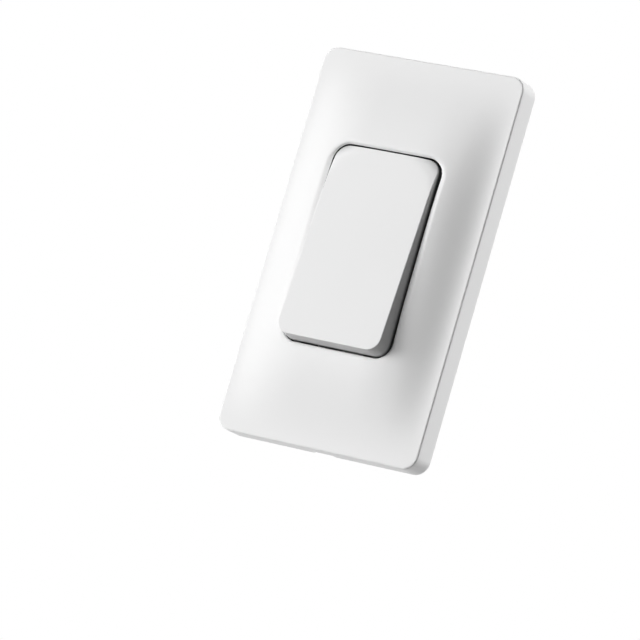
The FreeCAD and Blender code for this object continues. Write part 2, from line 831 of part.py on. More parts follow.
def swing_arm():
    """Plastic ring round the magnet block, with two pivots, a slot for the leaf spring and a spring peg."""
    half = arm_length / 2
    ring = arm_box(arm_left, arm_right, -half, half, -arm_bottom, leaf_top + leaf_strap)
    stack = pole_level + pole_thickness
    room = arm_box(block_left, block_right, -half, half, -stack, stack)
    slot_half = leaf_width / 2 + leaf_clearance
    slot = arm_box(block_x - slot_half, block_x + slot_half, -half, half, arm_top, leaf_top + leaf_clearance)
    left = rod(pivot_radius, point(-case_width / 2 + pivot_end_wall, 0, pivot_height),
               point(block_left - arm_wall / 2, 0, pivot_height))
    right = rod(pivot_radius, point(block_right + arm_wall / 2, 0, pivot_height),
                point(bearing_left + bearing_wall, 0, pivot_height))
    arm = at_arm_rest(joined([ring.cut(room).cut(slot), left, right]))
    leg_y, leg_z = spring_leg_end()
    peg_low = leg_z + spring_wire / 2 + spring_peg_gap
    peg = block(block_right, arm_right + spring_peg_reach, leg_y, leg_y + spring_peg_width,
                peg_low, peg_low + spring_peg_width)
    return joined([arm, peg])


def magnet():
    """Flat magnet between the two pole plates."""
    half = magnet_length / 2
    return at_arm_rest(arm_box(block_left, block_right, -half, half, -pole_level, pole_level))


def pole_plate(side):
    """Soft iron plate on one face of the magnet, reaching past both core legs."""
    half = pole_length / 2
    z0, z1 = sorted((side * pole_level, side * (pole_level + pole_thickness)))
    return at_arm_rest(arm_box(block_left, block_right, -half, half, z0, z1))


def leaf_spring():
    """Steel strip from a wide head behind the arm's slot to past the pusher, with a round tip."""
    half = leaf_width / 2
    tip = pusher_reach + leaf_overhang - half
    tail = arm_length / 2 + leaf_clearance
    strip = arm_box(block_x - half, block_x + half, -tip, tail, arm_top, leaf_top)
    head_half = half + leaf_head_overhang
    head = arm_box(block_x - head_half, block_x + head_half, tail, tail + leaf_head_length, arm_top, leaf_top)
    end = rod(half, point(block_x, -tip, pivot_height + arm_top),
              point(block_x, -tip, pivot_height + leaf_top))
    return at_arm_rest(joined([strip, head, end]))


def spring_mean_radius():
    """From the pivot's axis to the middle of the spring wire."""
    return (spring_bore + spring_wire) / 2


def spring_ends():
    """Where the coil of the reset spring starts, beside the arm, and ends, beside the bearing post."""
    length = spring_turns * spring_pitch
    start = arm_right + (spring_room - length) / 2
    return start, start + length


def spring_leg_end():
    """End of the spring's upper leg, which lifts the arm by its peg."""
    return -spring_leg, pivot_height + spring_mean_radius()


def wire_section(centre, along, radius):
    """Six-sided section of a wire, square to its direction."""
    side = along.cross(X)
    side.normalize()
    up = side.cross(along)
    up.normalize()
    corners = []
    for k in range(wire_flats + 1):
        angle = 2 * math.pi * k / wire_flats
        corners.append(centre + (side * math.cos(angle) + up * math.sin(angle)) * radius)
    return Part.makePolygon(corners)


def reset_spring():
    """Torsion spring round the right-hand pivot: one leg lies under the arm's peg, one on the case."""
    mean = spring_mean_radius()
    radius = spring_wire / 2
    start, end = spring_ends()
    count = round(spring_turns * spring_steps)
    leg_y, leg_z = spring_leg_end()
    sections = [wire_section(point(start, leg_y, leg_z), Y, radius)]
    for k in range(count + 1):
        angle = math.pi / 2 - 2 * math.pi * k / spring_steps
        middle = point(start + (end - start) * k / count, mean * math.cos(angle),
                       pivot_height + mean * math.sin(angle))
        sections.append(wire_section(middle, point(0, math.sin(angle), -math.cos(angle)), radius))
    sections.append(wire_section(point(end, -spring_leg, pivot_height - mean), -Y, radius))
    return Part.makeLoft(sections, True, True)


def pinned_body(size, place, pins, pitch):
    """Moulded component with a row of bent pins on two sides, standing on the board."""
    length, width, height = size
    x = place[0]
    y = board_y + place[1]
    body = block(x - length / 2, x + length / 2, y - width / 2, y + width / 2,
                 board_top + pin_thickness, board_top + pin_thickness + height)
    pieces = [body]
    middle = board_top + pin_thickness + height / 2
    for index in range(pins):
        pin_x = x + (index - (pins - 1) / 2) * pitch
        x0 = pin_x - pin_width / 2
        x1 = pin_x + pin_width / 2
        for side in (-1, 1):
            edge = y + side * width / 2
            elbow = edge + side * pin_reach / 2
            toe = edge + side * pin_reach
            near, far = sorted((edge - side * pin_width, elbow))
            pieces.append(block(x0, x1, near, far, middle - pin_thickness, middle))
            near, far = sorted((elbow - side * pin_thickness, elbow))
            pieces.append(block(x0, x1, near, far, board_top, middle))
            near, far = sorted((elbow - side * pin_thickness, toe))
            pieces.append(block(x0, x1, near, far, board_top, board_top + pin_thickness))
    return joined(pieces)


def circuit_board():
    """Board with a large hole round the upper wall screw."""
    board = block(-board_width / 2, board_width / 2, board_y - board_length / 2, board_y + board_length / 2,
                  board_level, board_top)
    hole = rod(wall_boss_radius + board_hole_gap, point(0, board_y, 0), point(0, board_y, 2 * board_top))
    return board.cut(hole)


def quartz_crystal():
    """Low ceramic block with a metal lid set in from its edges."""
    length, width, height = crystal_size
    x = crystal_place[0]
    y = board_y + crystal_place[1]
    body = block(x - length / 2, x + length / 2, y - width / 2, y + width / 2, board_top, board_top + height)
    lid_x = length / 2 - crystal_lid_inset
    lid_y = width / 2 - crystal_lid_inset
    lid = block(x - lid_x, x + lid_x, y - lid_y, y + lid_y,
                board_top, board_top + height + crystal_lid_height)
    return joined([body, lid])


def storage_capacitor():
    """Round metal can on a square plastic base with two cut corners."""
    length, width, height = capacitor_base
    x = capacitor_place[0]
    y = board_y + capacitor_place[1]
    base = block(x - length / 2, x + length / 2, y - width / 2, y + width / 2, board_top, board_top + height)
    corner = [e for e in base.Edges if e.BoundBox.ZLength > height / 2 and e.BoundBox.XMax > x]
    base = base.makeChamfer(capacitor_base_chamfer, corner)
    can = rod(capacitor_radius, point(x, y, board_top + height / 2),
              point(x, y, board_top + height + capacitor_height))
    return joined([base, can])


def antenna_strip():
    """Brass strip on edge: from the board down the left side, along the bottom and up the right."""
    half = antenna_thickness / 2
    height = antenna_high - antenna_low
    centre = (0.0, (antenna_high + antenna_low) / 2)
    low = board_top
    high = board_top + antenna_height
    loop = rounded_block(2 * (antenna_side + half), height + 2 * half, antenna_bend + half, low, high, centre)
    loop = loop.cut(rounded_block(2 * (antenna_side - half), height - 2 * half, antenna_bend - half,
                                  low, high, centre))
    gap = block(antenna_foot - antenna_side, plate_width, antenna_low + antenna_free_rise, plate_height,
                low, high)
    return loop.cut(gap)


def stand_up(shape):
    """Turns a piece drawn lying on its back to the wall."""
    upright = shape.copy()
    upright.rotate(point(0, 0, 0), X, 90)
    return upright


def all_pieces():
    """Every piece of the switch by its name."""
    return {
        "face_plate": face_plate(),
        "rocker_key": rocker_key(),
        "base_plate": base_plate(),
        "generator_case": generator_case(),
        "generator_cover": generator_cover(),
        "upper_core": core_half(1),
        "lower_core": core_half(-1),
        "coil_bobbin": coil_bobbin(),
        "coil_winding": coil_winding(),
        "coil_leads": coil_leads(),
        "swing_arm": swing_arm(),
        "magnet": magnet(),
        "upper_pole_plate": pole_plate(1),
        "lower_pole_plate": pole_plate(-1),
        "leaf_spring": leaf_spring(),
        "reset_spring": reset_spring(),
        "circuit_board": circuit_board(),
        "radio_chip": pinned_body(chip_size, chip_place, chip_pins, chip_pin_pitch),
        "rectifier_bridge": pinned_body(bridge_size, bridge_place, bridge_pins, bridge_pin_pitch),
        "quartz_crystal": quartz_crystal(),
        "storage_capacitor": storage_capacitor(),
        "antenna_strip": antenna_strip(),
        "stop_pads": stop_pads(),
    }


def main():
    os.makedirs("parts", exist_ok=True)
    for name, shape in all_pieces().items():
        stand_up(shape).exportStep("parts/" + name + ".step")


main()
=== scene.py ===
import json
import math

import bmesh
import bpy
from mathutils import Matrix, Vector


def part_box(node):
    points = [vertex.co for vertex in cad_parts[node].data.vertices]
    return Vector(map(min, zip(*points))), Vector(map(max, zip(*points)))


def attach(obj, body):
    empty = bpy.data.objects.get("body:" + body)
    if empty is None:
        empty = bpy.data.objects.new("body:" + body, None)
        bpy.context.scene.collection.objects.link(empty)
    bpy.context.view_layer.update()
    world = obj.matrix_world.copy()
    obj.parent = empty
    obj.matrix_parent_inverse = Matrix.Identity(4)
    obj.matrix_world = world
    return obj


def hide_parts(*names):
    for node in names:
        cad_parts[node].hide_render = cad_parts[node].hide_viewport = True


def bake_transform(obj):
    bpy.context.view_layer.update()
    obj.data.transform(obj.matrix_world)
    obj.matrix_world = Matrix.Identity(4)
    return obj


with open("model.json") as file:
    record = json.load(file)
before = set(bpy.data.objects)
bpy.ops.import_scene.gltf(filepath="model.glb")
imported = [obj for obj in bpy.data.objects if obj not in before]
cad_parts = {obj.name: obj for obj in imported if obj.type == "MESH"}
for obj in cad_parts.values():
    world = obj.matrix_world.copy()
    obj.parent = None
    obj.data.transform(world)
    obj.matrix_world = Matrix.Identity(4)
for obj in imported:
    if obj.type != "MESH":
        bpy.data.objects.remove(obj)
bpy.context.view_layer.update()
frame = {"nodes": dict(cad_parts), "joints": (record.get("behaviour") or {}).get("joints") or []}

bl_info = {
    "name": "Wireless Wall Switch",
    "version": (1, 0, 0),
    "blender": (4, 5, 0),
    "location": "View3D > Sidebar > Wall Switch",
    "description": "Dresses the packed wall switch with smooth shells, wound wire and moulded finishes",
    "category": "Object",
}

MM = 0.001


def joint_place(name):
    """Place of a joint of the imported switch."""
    joint = next(j for j in frame["joints"] if j["name"] == name)
    return Vector(joint["pos_m"])


PLATE_LOW, PLATE_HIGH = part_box("face_plate")
WINDING_LOW, WINDING_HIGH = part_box("coil_winding")
SPRING_LOW, SPRING_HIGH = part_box("reset_spring")
LEADS_LOW, LEADS_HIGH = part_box("coil_leads")
KEY_HINGE = joint_place("key_hinge")
ARM_PIVOT = joint_place("arm_pivot")


def length(name, words, millimetres):
    """Length property with its default in millimetres."""
    return bpy.props.FloatProperty(name=name, description=words, default=millimetres * MM,
                                   min=0.0, unit="LENGTH", precision=5)


def angle(name, words, degrees):
    """Angle property with its default in degrees."""
    return bpy.props.FloatProperty(name=name, description=words, default=math.radians(degrees),
                                   unit="ROTATION", subtype="ANGLE")


def number(name, words, value, least=0.0):
    """Plain number property."""
    return bpy.props.FloatProperty(name=name, description=words, default=value, min=least)


def paint(name, words, red, green, blue):
    """Colour property."""
    return bpy.props.FloatVectorProperty(name=name, description=words, default=(red, green, blue),
                                         size=3, min=0.0, max=1.0, subtype="COLOR")


class PlateSizes(bpy.types.PropertyGroup):
    """Sizes of the domed face plate."""

    width: length("Width", "Overall width of the face plate", (PLATE_HIGH.x - PLATE_LOW.x) / MM)
    height: length("Height", "Overall height of the face plate", (PLATE_HIGH.z - PLATE_LOW.z) / MM)
    back: length("Back", "Gap between the wall and the plate's back edge", -PLATE_HIGH.y / MM)
    lip: length("Lip", "Level of the window's lip above the wall", -PLATE_LOW.y / MM)
    rim: length("Rim", "Level of the flat rim above the wall", 8.2)
    corner: length("Corner radius", "Radius of the outer corners", 4.5)
    edge: length("Edge radius", "Rounding between the sides and the front", 0.5)
    back_edge: length("Back edge radius", "Rounding of the edge next to the wall", 0.25)
    wall: length("Wall", "Thickness of the moulded wall", 2.0)
    foot_side: length("Foot inset, sides", "Where the dome begins to rise, from the sides", 4.1)
    foot_end: length("Foot inset, ends", "Where the dome begins to rise, from the ends", 7.7)
    shoulder_side: length("Shoulder inset, sides", "Control outline under the lip, from the sides", 7.7)
    shoulder_end: length("Shoulder inset, ends", "Control outline under the lip, from the ends", 14.5)
    shoulder_rise: length("Shoulder rise", "Height of the shoulder above the rim", 3.66)
    crown: length("Crown", "How far the dome would go on rising within the window", 1.6)
    window_width: length("Window width", "Width of the window", 38.1)
    window_height: length("Window height", "Height of the window", 61.4)
    window_corner: length("Window radius", "Corner radius of the window", 5.4)
    lip_land: length("Lip land", "Width over which the lip rounds off towards the window", 2.0)
    lip_rise: length("Lip rise", "How far above the lip's level its rounding begins", 0.16)
    lip_dip: length("Lip dip", "How far below the lip's level the rounding ends", 0.12)
    lip_carry: number("Lip carry", "How far the dome's slope carries on into the lip", 0.12)
    lip_edge: length("Lip radius", "Rounding of the lip's inner edge", 0.15)
    collar_wall: length("Collar wall", "Wall of the collar behind the window", 1.4)
    collar_depth: length("Collar depth", "How far the collar reaches behind the lip", 4.0)
    notch_width: length("Notch width", "Width of the pry notch in the lower edge", 7.6)
    notch_height: length("Notch height", "Height of the pry notch", 2.5)
    notch_corner: length("Notch radius", "Corner radius of the pry notch", 0.9)
    lug_thickness: length("Lug thickness", "Thickness of a hinge lug", 2.2)
    lug_radius: length("Lug radius", "Radius of a hinge lug's round end", 3.1)
    lug_bore: length("Lug bore", "Radius of the hole in a hinge lug", 1.55)
    bead_length: length("Bead length", "Length of a snap bead", 8.0)
    bead_height: length("Bead height", "Height of a snap bead", 1.4)
    bead_reach: length("Bead reach", "How far a snap bead stands out", 0.75)
    bead_level: length("Bead level", "Level of the snap beads above the wall", 3.5)
    bead_pitch: length("Bead pitch", "From one snap bead of a side to the next", 40.0)
    bead_offset: length("Bead offset", "From the middle to a snap bead of an end", 20.0)


class KeySizes(bpy.types.PropertyGroup):
    """Sizes of the rocker key, taken with the key level."""

    width: length("Width", "Width of the key's face", 35.9)
    height: length("Height", "Height of the key's face", 59.8)
    middle: length("Middle", "How far the key's middle lies below the window's", 0.27)
    level: length("Level", "Level of the key's face above the wall", 14.36)
    corner: length("Corner radius", "Radius of the key's corners", 4.2)
    edge: length("Edge radius", "Rounding of the front edge", 0.25)
    skirt_edge: length("Skirt edge radius", "Rounding of the back edge", 0.3)
    wall: length("Wall", "Thickness of the moulded wall", 1.8)
    skirt: length("Skirt depth", "Depth of the key's sides", 6.5)
    side_flare: length("Side flare", "How far each side leans out over its depth", 0.4)
    end_flare: length("End flare", "How far each end leans out over its depth", 0.3)
    fall_land: length("Fall land", "From the window to the line where the upper corners begin to fall", 0.4)
    fall_radius: length("Fall radius", "Corner radius of that line", 16.0)
    fall_slope: number("Fall slope", "Slope of the face beyond that line", 0.27)
    fall_ease: length("Fall ease", "Length over which the fall sets in", 2.0)
    # Painted shade on the key's sides: where the dark tone that stands in for the gap's shadow begins and
    # where it is full
    painted_shade_start: length("Shade start", "How far above the lip the darker tone begins", 0.5)
    painted_shade_end: length("Shade end", "How far below the lip the darker tone is full", 1.2)
    tilt: angle("Tilt", "How far the key leans out at rest", 4.47)
    trunnion: length("Trunnion radius", "Radius of the hinge pins", 1.5)
    trunnion_reach: length("Trunnion reach", "From the middle to the end of a hinge pin", 20.95)
    ear: length("Ear radius", "Radius of an ear's round end", 2.6)
    hook_offset: length("Hook offset", "From the middle to a hook", 11.0)
    hook_width: length("Hook width", "Width of a hook", 5.0)
    hook_wall: length("Hook wall", "Thickness of a hook", 1.4)
    hook_lip: length("Hook lip", "Height of a hook's lip", 1.0)
    hook_bite: length("Hook bite", "How far a hook reaches behind the collar", 0.9)
    hook_level: length("Hook level", "Level of a hook's lip above the wall", 4.855)
    rib_offset: length("Rib offset", "From the middle to a stiffening rib", 9.4)
    rib_wall: length("Rib thickness", "Thickness of a stiffening rib", 1.2)
    rib_depth: length("Rib depth", "How far a rib stands out", 0.7)
    pusher_start: length("Pusher start", "From the middle to the far end of the pusher", 10.95)
    pusher_width: length("Pusher width", "Width of the pusher", 7.7)
    pusher_drop: length("Pusher drop", "How far the pusher lies below the window's middle", 21.893)
    pusher_level: length("Pusher level", "Level of the pusher's nose above the wall", 8.534)
    pusher_radius: length("Pusher radius", "Radius of the pusher's nose", 0.8)
    fitting_edge: length("Fitting edge", "Rounding of the small fittings' edges", 0.12)


class WireSizes(bpy.types.PropertyGroup):
    """Sizes of the coil's wire and the reset spring."""

    coil_wire: length("Coil wire", "Radius of the coil's wire", 0.13)
    coil_corner: length("Coil corner", "Corner radius of the winding", 0.8)
    tube_width: length("Tube width", "Width of the bobbin's tube under the winding", 4.4)
    tube_depth: length("Tube depth", "Depth of the bobbin's tube under the winding", 2.6)
    tube_corner: length("Tube corner", "Corner radius of the bobbin's tube", 0.1)
    lead_wire: length("Lead wire", "Radius of a coil lead", 0.25)
    solder: length("Solder", "Radius of a solder joint", 0.62)
    spring_wire: length("Spring wire", "Radius of the reset spring's wire", 0.2)
    spring_coil: length("Spring coil", "Mean radius of the reset spring's coil", 1.5)
    spring_leg: length("Spring leg", "Length of the reset spring's legs", 2.8)
    spring_turns: number("Spring turns", "Turns of the reset spring", 3.5, 0.5)


class Finishes(bpy.types.PropertyGroup):
    """Colours of the materials."""

    shell: paint("Shell", "White plastic of the plate and the key", 0.83, 0.83, 0.83)
    # Painted shade: a dark colour on the collar's inside, standing in for the shadow in the gap round the key
    collar: paint("Collar", "Inside of the collar behind the window", 0.09, 0.09, 0.09)
    base: paint("Base", "Plastic of the base plate", 0.74, 0.74, 0.73)
    case: paint("Case", "Plastic of the generator case", 0.05, 0.05, 0.054)
    arm: paint("Arm", "Plastic of the swing arm", 0.2, 0.21, 0.23)
    bobbin: paint("Bobbin", "Resin of the coil bobbin", 0.76, 0.7, 0.58)
    iron: paint("Iron", "Soft iron of the core and the pole plates", 0.42, 0.42, 0.43)
    nickel: paint("Nickel", "Plating of the magnet", 0.72, 0.71, 0.68)
    steel: paint("Steel", "Steel of the springs", 0.6, 0.6, 0.61)
    copper: paint("Copper", "Enamelled copper wire", 0.72, 0.33, 0.16)
    brass: paint("Brass", "Brass of the antenna strip", 0.76, 0.58, 0.28)
    mask: paint("Solder mask", "Green mask of the circuit board", 0.03, 0.17, 0.07)
    resin: paint("Resin", "Moulded resin of the chips", 0.03, 0.03, 0.032)
    can: paint("Can", "Aluminium of the capacitor", 0.75, 0.76, 0.77)
    lid: paint("Lid", "Metal lid of the crystal", 0.62, 0.62, 0.6)
    rubber: paint("Rubber", "Soft stop pads", 0.08, 0.08, 0.08)
    floor: paint("Floor", "Plain floor far below the switch", 0.35, 0.35, 0.35)
    floor_glow: paint("Floor glow", "Paleness that the floor has in the picture", 0.6, 0.6, 0.6)


class StageSizes(bpy.types.PropertyGroup):
    """Camera and light. A surface that faces a lamp of level one shows its own colour."""

    azimuth: angle("Azimuth", "How far the camera stands to the right of the front", 32.38)
    elevation: angle("Elevation", "How far the camera stands above the switch", -7.315)
    roll: angle("Roll", "How far the camera is turned about its line of sight", 16.265)
    distance: length("Distance", "From the aim point to the camera", 1431.75)
    lens: number("Lens", "Focal length for a 36 mm sensor, in millimetres", 271.33, 1.0)
    floor_drop: length("Floor drop", "How far the floor lies below the switch", 1700.0)
    floor_size: length("Floor size", "From the floor's middle to its edge", 6000.0)
    lamp_distance: length("Lamp distance", "From the switch to each lamp", 1700.0)
    lamp_size: length("Lamp size", "Width of each lamp", 850.0)
    key_light: number("Key light", "Light from the front left", 0.795)
    left_light: number("Left light", "Light from the left", 0.1)
    front_light: number("Front light", "Light from the front, above the switch", 0.285)
    fill_light: number("Fill light", "Light from the front right, above the switch", 0.12)
    rim_light: number("Rim light", "Light from behind, above the switch on the right", 0.664)
    side_light: number("Side light", "Light from behind on the right", 0.657)
    under_light: number("Under light", "Light from behind on the left, below the switch", 0.33)
    below_light: number("Below light", "Light from behind, well below the switch", 0.235)
    ambient: number("Ambient", "Even light from all round", 0.0)


# Place that the camera looks at, and each lamp with the direction it stands in
AIM = Vector((-15.333, -0.208, -20.909)) * MM
LAMPS = (
    ("key_light", Vector((-0.68, -0.73, -0.06))),
    ("left_light", Vector((-0.87, -0.5, 0.0))),
    ("front_light", Vector((-0.28, -0.91, 0.25))),
    ("fill_light", Vector((0.3, -0.81, 0.5))),
    ("rim_light", Vector((0.45, 0.54, 0.71))),
    ("side_light", Vector((0.63, 0.75, 0.17))),
    ("under_light", Vector((-0.45, 0.54, -0.71))),
    ("below_light", Vector((0.0, 0.5, -0.87))),
)

# Nearest and farthest distance that the camera sees, in metres
CLIP_NEAR, CLIP_FAR = 0.05, 50.0

# Plastics, rubber and paint: colour, roughness, grain scale, grain depth in millimetres, specular level
PLASTICS = {
    "shell plastic": ("shell", 0.6, 2600.0, 0.02, 0.15),
    # Painted shade of the gap, on the collar's inside
    "collar plastic": ("collar", 0.7, 2600.0, 0.02, 0.1),
    "base plastic": ("base", 0.6, 1800.0, 0.02, 0.3),
    "pad rubber": ("rubber", 0.8, 3200.0, 0.03, 0.3),
    "case plastic": ("case", 0.5, 2200.0, 0.02, 0.4),
    "bobbin resin": ("bobbin", 0.5, 2000.0, 0.02, 0.4),
    "arm plastic": ("arm", 0.5, 2200.0, 0.02, 0.4),
    "solder mask": ("mask", 0.3, 900.0, 0.01, 0.5),
    "chip resin": ("resin", 0.45, 5000.0, 0.02, 0.4),
    "floor paint": ("floor", 0.7, 40.0, 0.02, 0.2),
}
PLASTIC_SHADE, PLASTIC_RELIEF, PLASTIC_IOR = 0.975, 0.35, 1.5

# Metals: colour, roughness, how fine the streaks are along x, y and z
METALS = {
    "copper wire": ("copper", 0.28, (900.0, 900.0, 9000.0)),
    "solder": ("nickel", 0.35, (3000.0, 3000.0, 3000.0)),
    "spring steel": ("steel", 0.3, (6000.0, 6000.0, 200.0)),
    "core iron": ("iron", 0.45, (300.0, 3000.0, 6000.0)),
    "magnet plating": ("nickel", 0.2, (2000.0, 2000.0, 2000.0)),
    "crystal lid": ("lid", 0.3, (4000.0, 4000.0, 400.0)),
    "capacitor can": ("can", 0.28, (600.0, 6000.0, 600.0)),
    "antenna brass": ("brass", 0.3, (600.0, 9000.0, 600.0)),
}
METAL_SHADE, METAL_RELIEF, STREAK_DEPTH = 0.82, 0.2, 0.01 * MM

# Steps along the outlines, the dome, the lip, the edges and the key's face
ARC_STEPS = 20
SIDE_STEPS = 36
END_STEPS = 24
DOME_STEPS = 44
HALF_STEPS = 8
LIP_STEPS = 12
EDGE_STEPS = 6
FACE_STEPS = 24

# Steps and sides of the small round pieces
BEVEL_STEPS = 3
PIN_SIDES = 48
LUG_SIDES = 64
SOLDER_SIDES = 24
COIL_SIDES = 8
COIL_CORNER_STEPS = 4
LEAD_SIDES = 16
LEAD_STEPS = 8
SPRING_SIDES = 12
SPRING_TURN_STEPS = 32
SPRING_LEG_STEPS = 6

# Snap bead: its root in the wall, and its nose as shares of the bead's reach and height
BEAD_ROOT = 0.4
BEAD_NOSE_REACH = 0.8
BEAD_NOSE_HEIGHT = 0.12

# Coil: gap at each end, pitch of its turns and inset of its lower layers, in wire radii
COIL_END_GAP = 1.5
COIL_TURN_PITCH = 2.04
COIL_LAYER_INSET = 1.3

# Solder cone: height and tip as shares of its radius, and the power that hollows its side
SOLDER_HEIGHT = 0.9
SOLDER_TIP = 0.12
SOLDER_HOLLOW = 1.6

# How far the notch reaches into the plate, in walls, and how near the window's wall a place is part of it
NOTCH_REACH = 1.5
WINDOW_SLACK = 0.02 * MM

# Smallest sideways share of a direction, so that nothing is divided by zero
LEAST_SHARE = 1e-6

# Angles from which an edge stays sharp, in degrees
SHARP_EDGE = 32.0
SHARP_WIRE = 60.0


def corner_arcs(half_x, half_z, radius, steps):
    """The four rounded corners of a rectangle, each as a row of points."""
    arcs = []
    for index, (sx, sz) in enumerate(((1, 1), (-1, 1), (-1, -1), (1, -1))):
        centre = Vector((sx * (half_x - radius), sz * (half_z - radius)))
        arc = []
        for step in range(steps + 1):
            turn = math.pi / 2 * (index + step / steps)
            arc.append(centre + radius * Vector((math.cos(turn), math.sin(turn))))
        arcs.append(arc)
    return arcs


def outline(half_x, half_z, radius):
    """Points of a round-cornered rectangle, always the same number and in the same order."""
    points = []
    runs = (END_STEPS, SIDE_STEPS, END_STEPS, SIDE_STEPS)
    arcs = corner_arcs(half_x, half_z, radius, ARC_STEPS)
    for index, arc in enumerate(arcs):
        points += arc
        target = arcs[(index + 1) % 4][0]
        for step in range(1, runs[index]):
            points.append(arc[-1].lerp(target, step / runs[index]))
    return points


def quarter_turn(first=0, last=EDGE_STEPS):
    """Sines and cosines at even steps of a quarter turn."""
    turns = [math.pi / 2 * step / EDGE_STEPS for step in range(first, last + 1)]
    return [(math.sin(turn), math.cos(turn)) for turn in turns]


def circle(sides):
    """Cosines and sines at even steps of a full turn."""
    turns = [2 * math.pi * k / sides for k in range(sides)]
    return [(math.cos(turn), math.sin(turn)) for turn in turns]


def ring(half_x, half_z, radius, level, middle=0.0):
    """Outline at a level above the wall, as points in the row frame."""
    return [Vector((p.x, -level, p.y + middle)) for p in outline(half_x, half_z, radius)]


def lofted(rings, closed):
    """Mesh through rings of equally many points, joined end to end or capped at both ends."""
    count = len(rings[0])
    vertices = [p for r in rings for p in r]
    faces = []
    last = len(rings) if closed else len(rings) - 1
    for i in range(last):
        a = i * count
        b = ((i + 1) % len(rings)) * count
        for k in range(count):
            n = (k + 1) % count
            faces.append((a + k, a + n, b + n, b + k))
    if not closed:
        faces.append(tuple(range(count - 1, -1, -1)))
        faces.append(tuple(range((len(rings) - 1) * count, len(rings) * count)))
    return solid_mesh(vertices, faces)


def solid_mesh(vertices, faces):
    """BMesh with its normals pointing out."""
    bm = bmesh.new()
    made = [bm.verts.new(v) for v in vertices]
    for face in faces:
        bm.faces.new([made[i] for i in face])
    bmesh.ops.recalc_face_normals(bm, faces=bm.faces)
    return bm


def block(low, high, bevel):
    """Box between two corners with its edges rounded."""
    bm = bmesh.new()
    bmesh.ops.create_cube(bm, size=1.0)
    size = high - low
    for v in bm.verts:
        v.co = Vector([low[i] + (v.co[i] + 0.5) * size[i] for i in range(3)])
    bmesh.ops.bevel(bm, geom=bm.edges, offset=bevel, segments=BEVEL_STEPS, affect="EDGES", profile=0.5)
    return bm


def pin(start, end, radius, bevel, level, height):
    """Round bar along x at a level above the wall, with rounded ends."""
    profile = [(bevel * (1 - s), radius - bevel * (1 - c)) for s, c in quarter_turn()]
    stations = [(start + a, r) for a, r in reversed(profile)] + [(end - a, r) for a, r in profile]
    rings = []
    for x, r in stations:
        rings.append([Vector((x, r * c - level, r * s + height)) for c, s in circle(PIN_SIDES)])
    return lofted(rings, False)


def slab(x0, x1, z0, z1, level0, level1, bevel):
    """Rounded block between two levels above the wall."""
    return block(Vector((x0, -level1, z0)), Vector((x1, -level0, z1)), bevel)


def merged(parts):
    """One mesh from several BMeshes."""
    out = bmesh.new()
    for part in parts:
        mesh = bpy.data.meshes.new("part")
        part.to_mesh(mesh)
        out.from_mesh(mesh)
        bpy.data.meshes.remove(mesh)
        part.free()
    return out


def placed(name, bm, body, material, sharp=SHARP_EDGE):
    """Object from a BMesh, smooth but for its real edges, riding on a body if one is named."""
    mesh = bpy.data.meshes.new(name)
    bm.to_mesh(mesh)
    bm.free()
    mesh.shade_smooth()
    mesh.set_sharp_from_angle(angle=math.radians(sharp))
    mesh.materials.append(material)
    piece = bpy.data.objects.new(name, mesh)
    bpy.context.scene.collection.objects.link(piece)
    if body:
        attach(piece, body)
    return piece


def cut_away(bm, cutter):
    """BMesh left after a closed cutter is taken out of another."""
    objects = []
    for name, part in (("kept", bm), ("cutter", cutter)):
        mesh = bpy.data.meshes.new(name)
        part.to_mesh(mesh)
        part.free()
        item = bpy.data.objects.new(name, mesh)
        bpy.context.scene.collection.objects.link(item)
        objects.append(item)
    kept, tool = objects
    modifier = kept.modifiers.new("cut", "BOOLEAN")
    modifier.operation = "DIFFERENCE"
    modifier.solver = "EXACT"
    modifier.object = tool
    bpy.context.view_layer.update()
    result = bmesh.new()
    result.from_object(kept, bpy.context.evaluated_depsgraph_get())
    for item in objects:
        mesh = item.data
        bpy.data.objects.remove(item)
        bpy.data.meshes.remove(mesh)
    if not result.faces:
        raise RuntimeError("the cut left nothing")
    return result


def new_material(name):
    """Material with a Principled shader, and its nodes, links and shader."""
    material = bpy.data.materials.new(name)
    material.use_nodes = True
    tree = material.node_tree
    return material, tree.nodes, tree.links, tree.nodes["Principled BSDF"]


def set_inputs(node, values):
    """Sets some of a node's own inputs."""
    for socket, value in values.items():
        node.inputs[socket].default_value = value


def finish_group(name, pattern_name, pattern_type, tone_scale, swing):
    """Node group that mottles a colour and varies the roughness, and the ends that drive its fine pattern."""
    group = bpy.data.node_groups.new(name, "ShaderNodeTree")
    inputs = (("Colour", "NodeSocketColor"), ("Shade", "NodeSocketColor"), (pattern_name, pattern_type),
              ("Roughness", "NodeSocketFloat"))
    outputs = (("Colour", "NodeSocketColor"), ("Roughness", "NodeSocketFloat"), ("Height", "NodeSocketFloat"))
    for way, sockets in (("INPUT", inputs), ("OUTPUT", outputs)):
        for socket, kind in sockets:
            group.interface.new_socket(socket, in_out=way, socket_type=kind)
    nodes, links = group.nodes, group.links
    source = nodes.new("NodeGroupInput")
    sink = nodes.new("NodeGroupOutput")
    place = nodes.new("ShaderNodeTexCoord")
    pattern = nodes.new("ShaderNodeTexNoise")
    tone = nodes.new("ShaderNodeTexNoise")
    tone.inputs["Scale"].default_value = tone_scale
    mix = nodes.new("ShaderNodeMix")
    mix.data_type = "RGBA"
    spread = nodes.new("ShaderNodeMapRange")
    set_inputs(spread, {"To Min": -swing, "To Max": swing})
    add = nodes.new("ShaderNodeMath")
    links.new(place.outputs["Object"], tone.inputs["Vector"])
    links.new(tone.outputs["Fac"], mix.inputs["Factor"])
    links.new(source.outputs["Colour"], mix.inputs["A"])
    links.new(source.outputs["Shade"], mix.inputs["B"])
    links.new(pattern.outputs["Fac"], spread.inputs["Value"])
    links.new(source.outputs["Roughness"], add.inputs[0])
    links.new(spread.outputs["Result"], add.inputs[1])
    links.new(mix.outputs["Result"], sink.inputs["Colour"])
    links.new(add.outputs["Value"], sink.inputs["Roughness"])
    links.new(pattern.outputs["Fac"], sink.inputs["Height"])
    return group, place.outputs["Object"], source.outputs[pattern_name], pattern


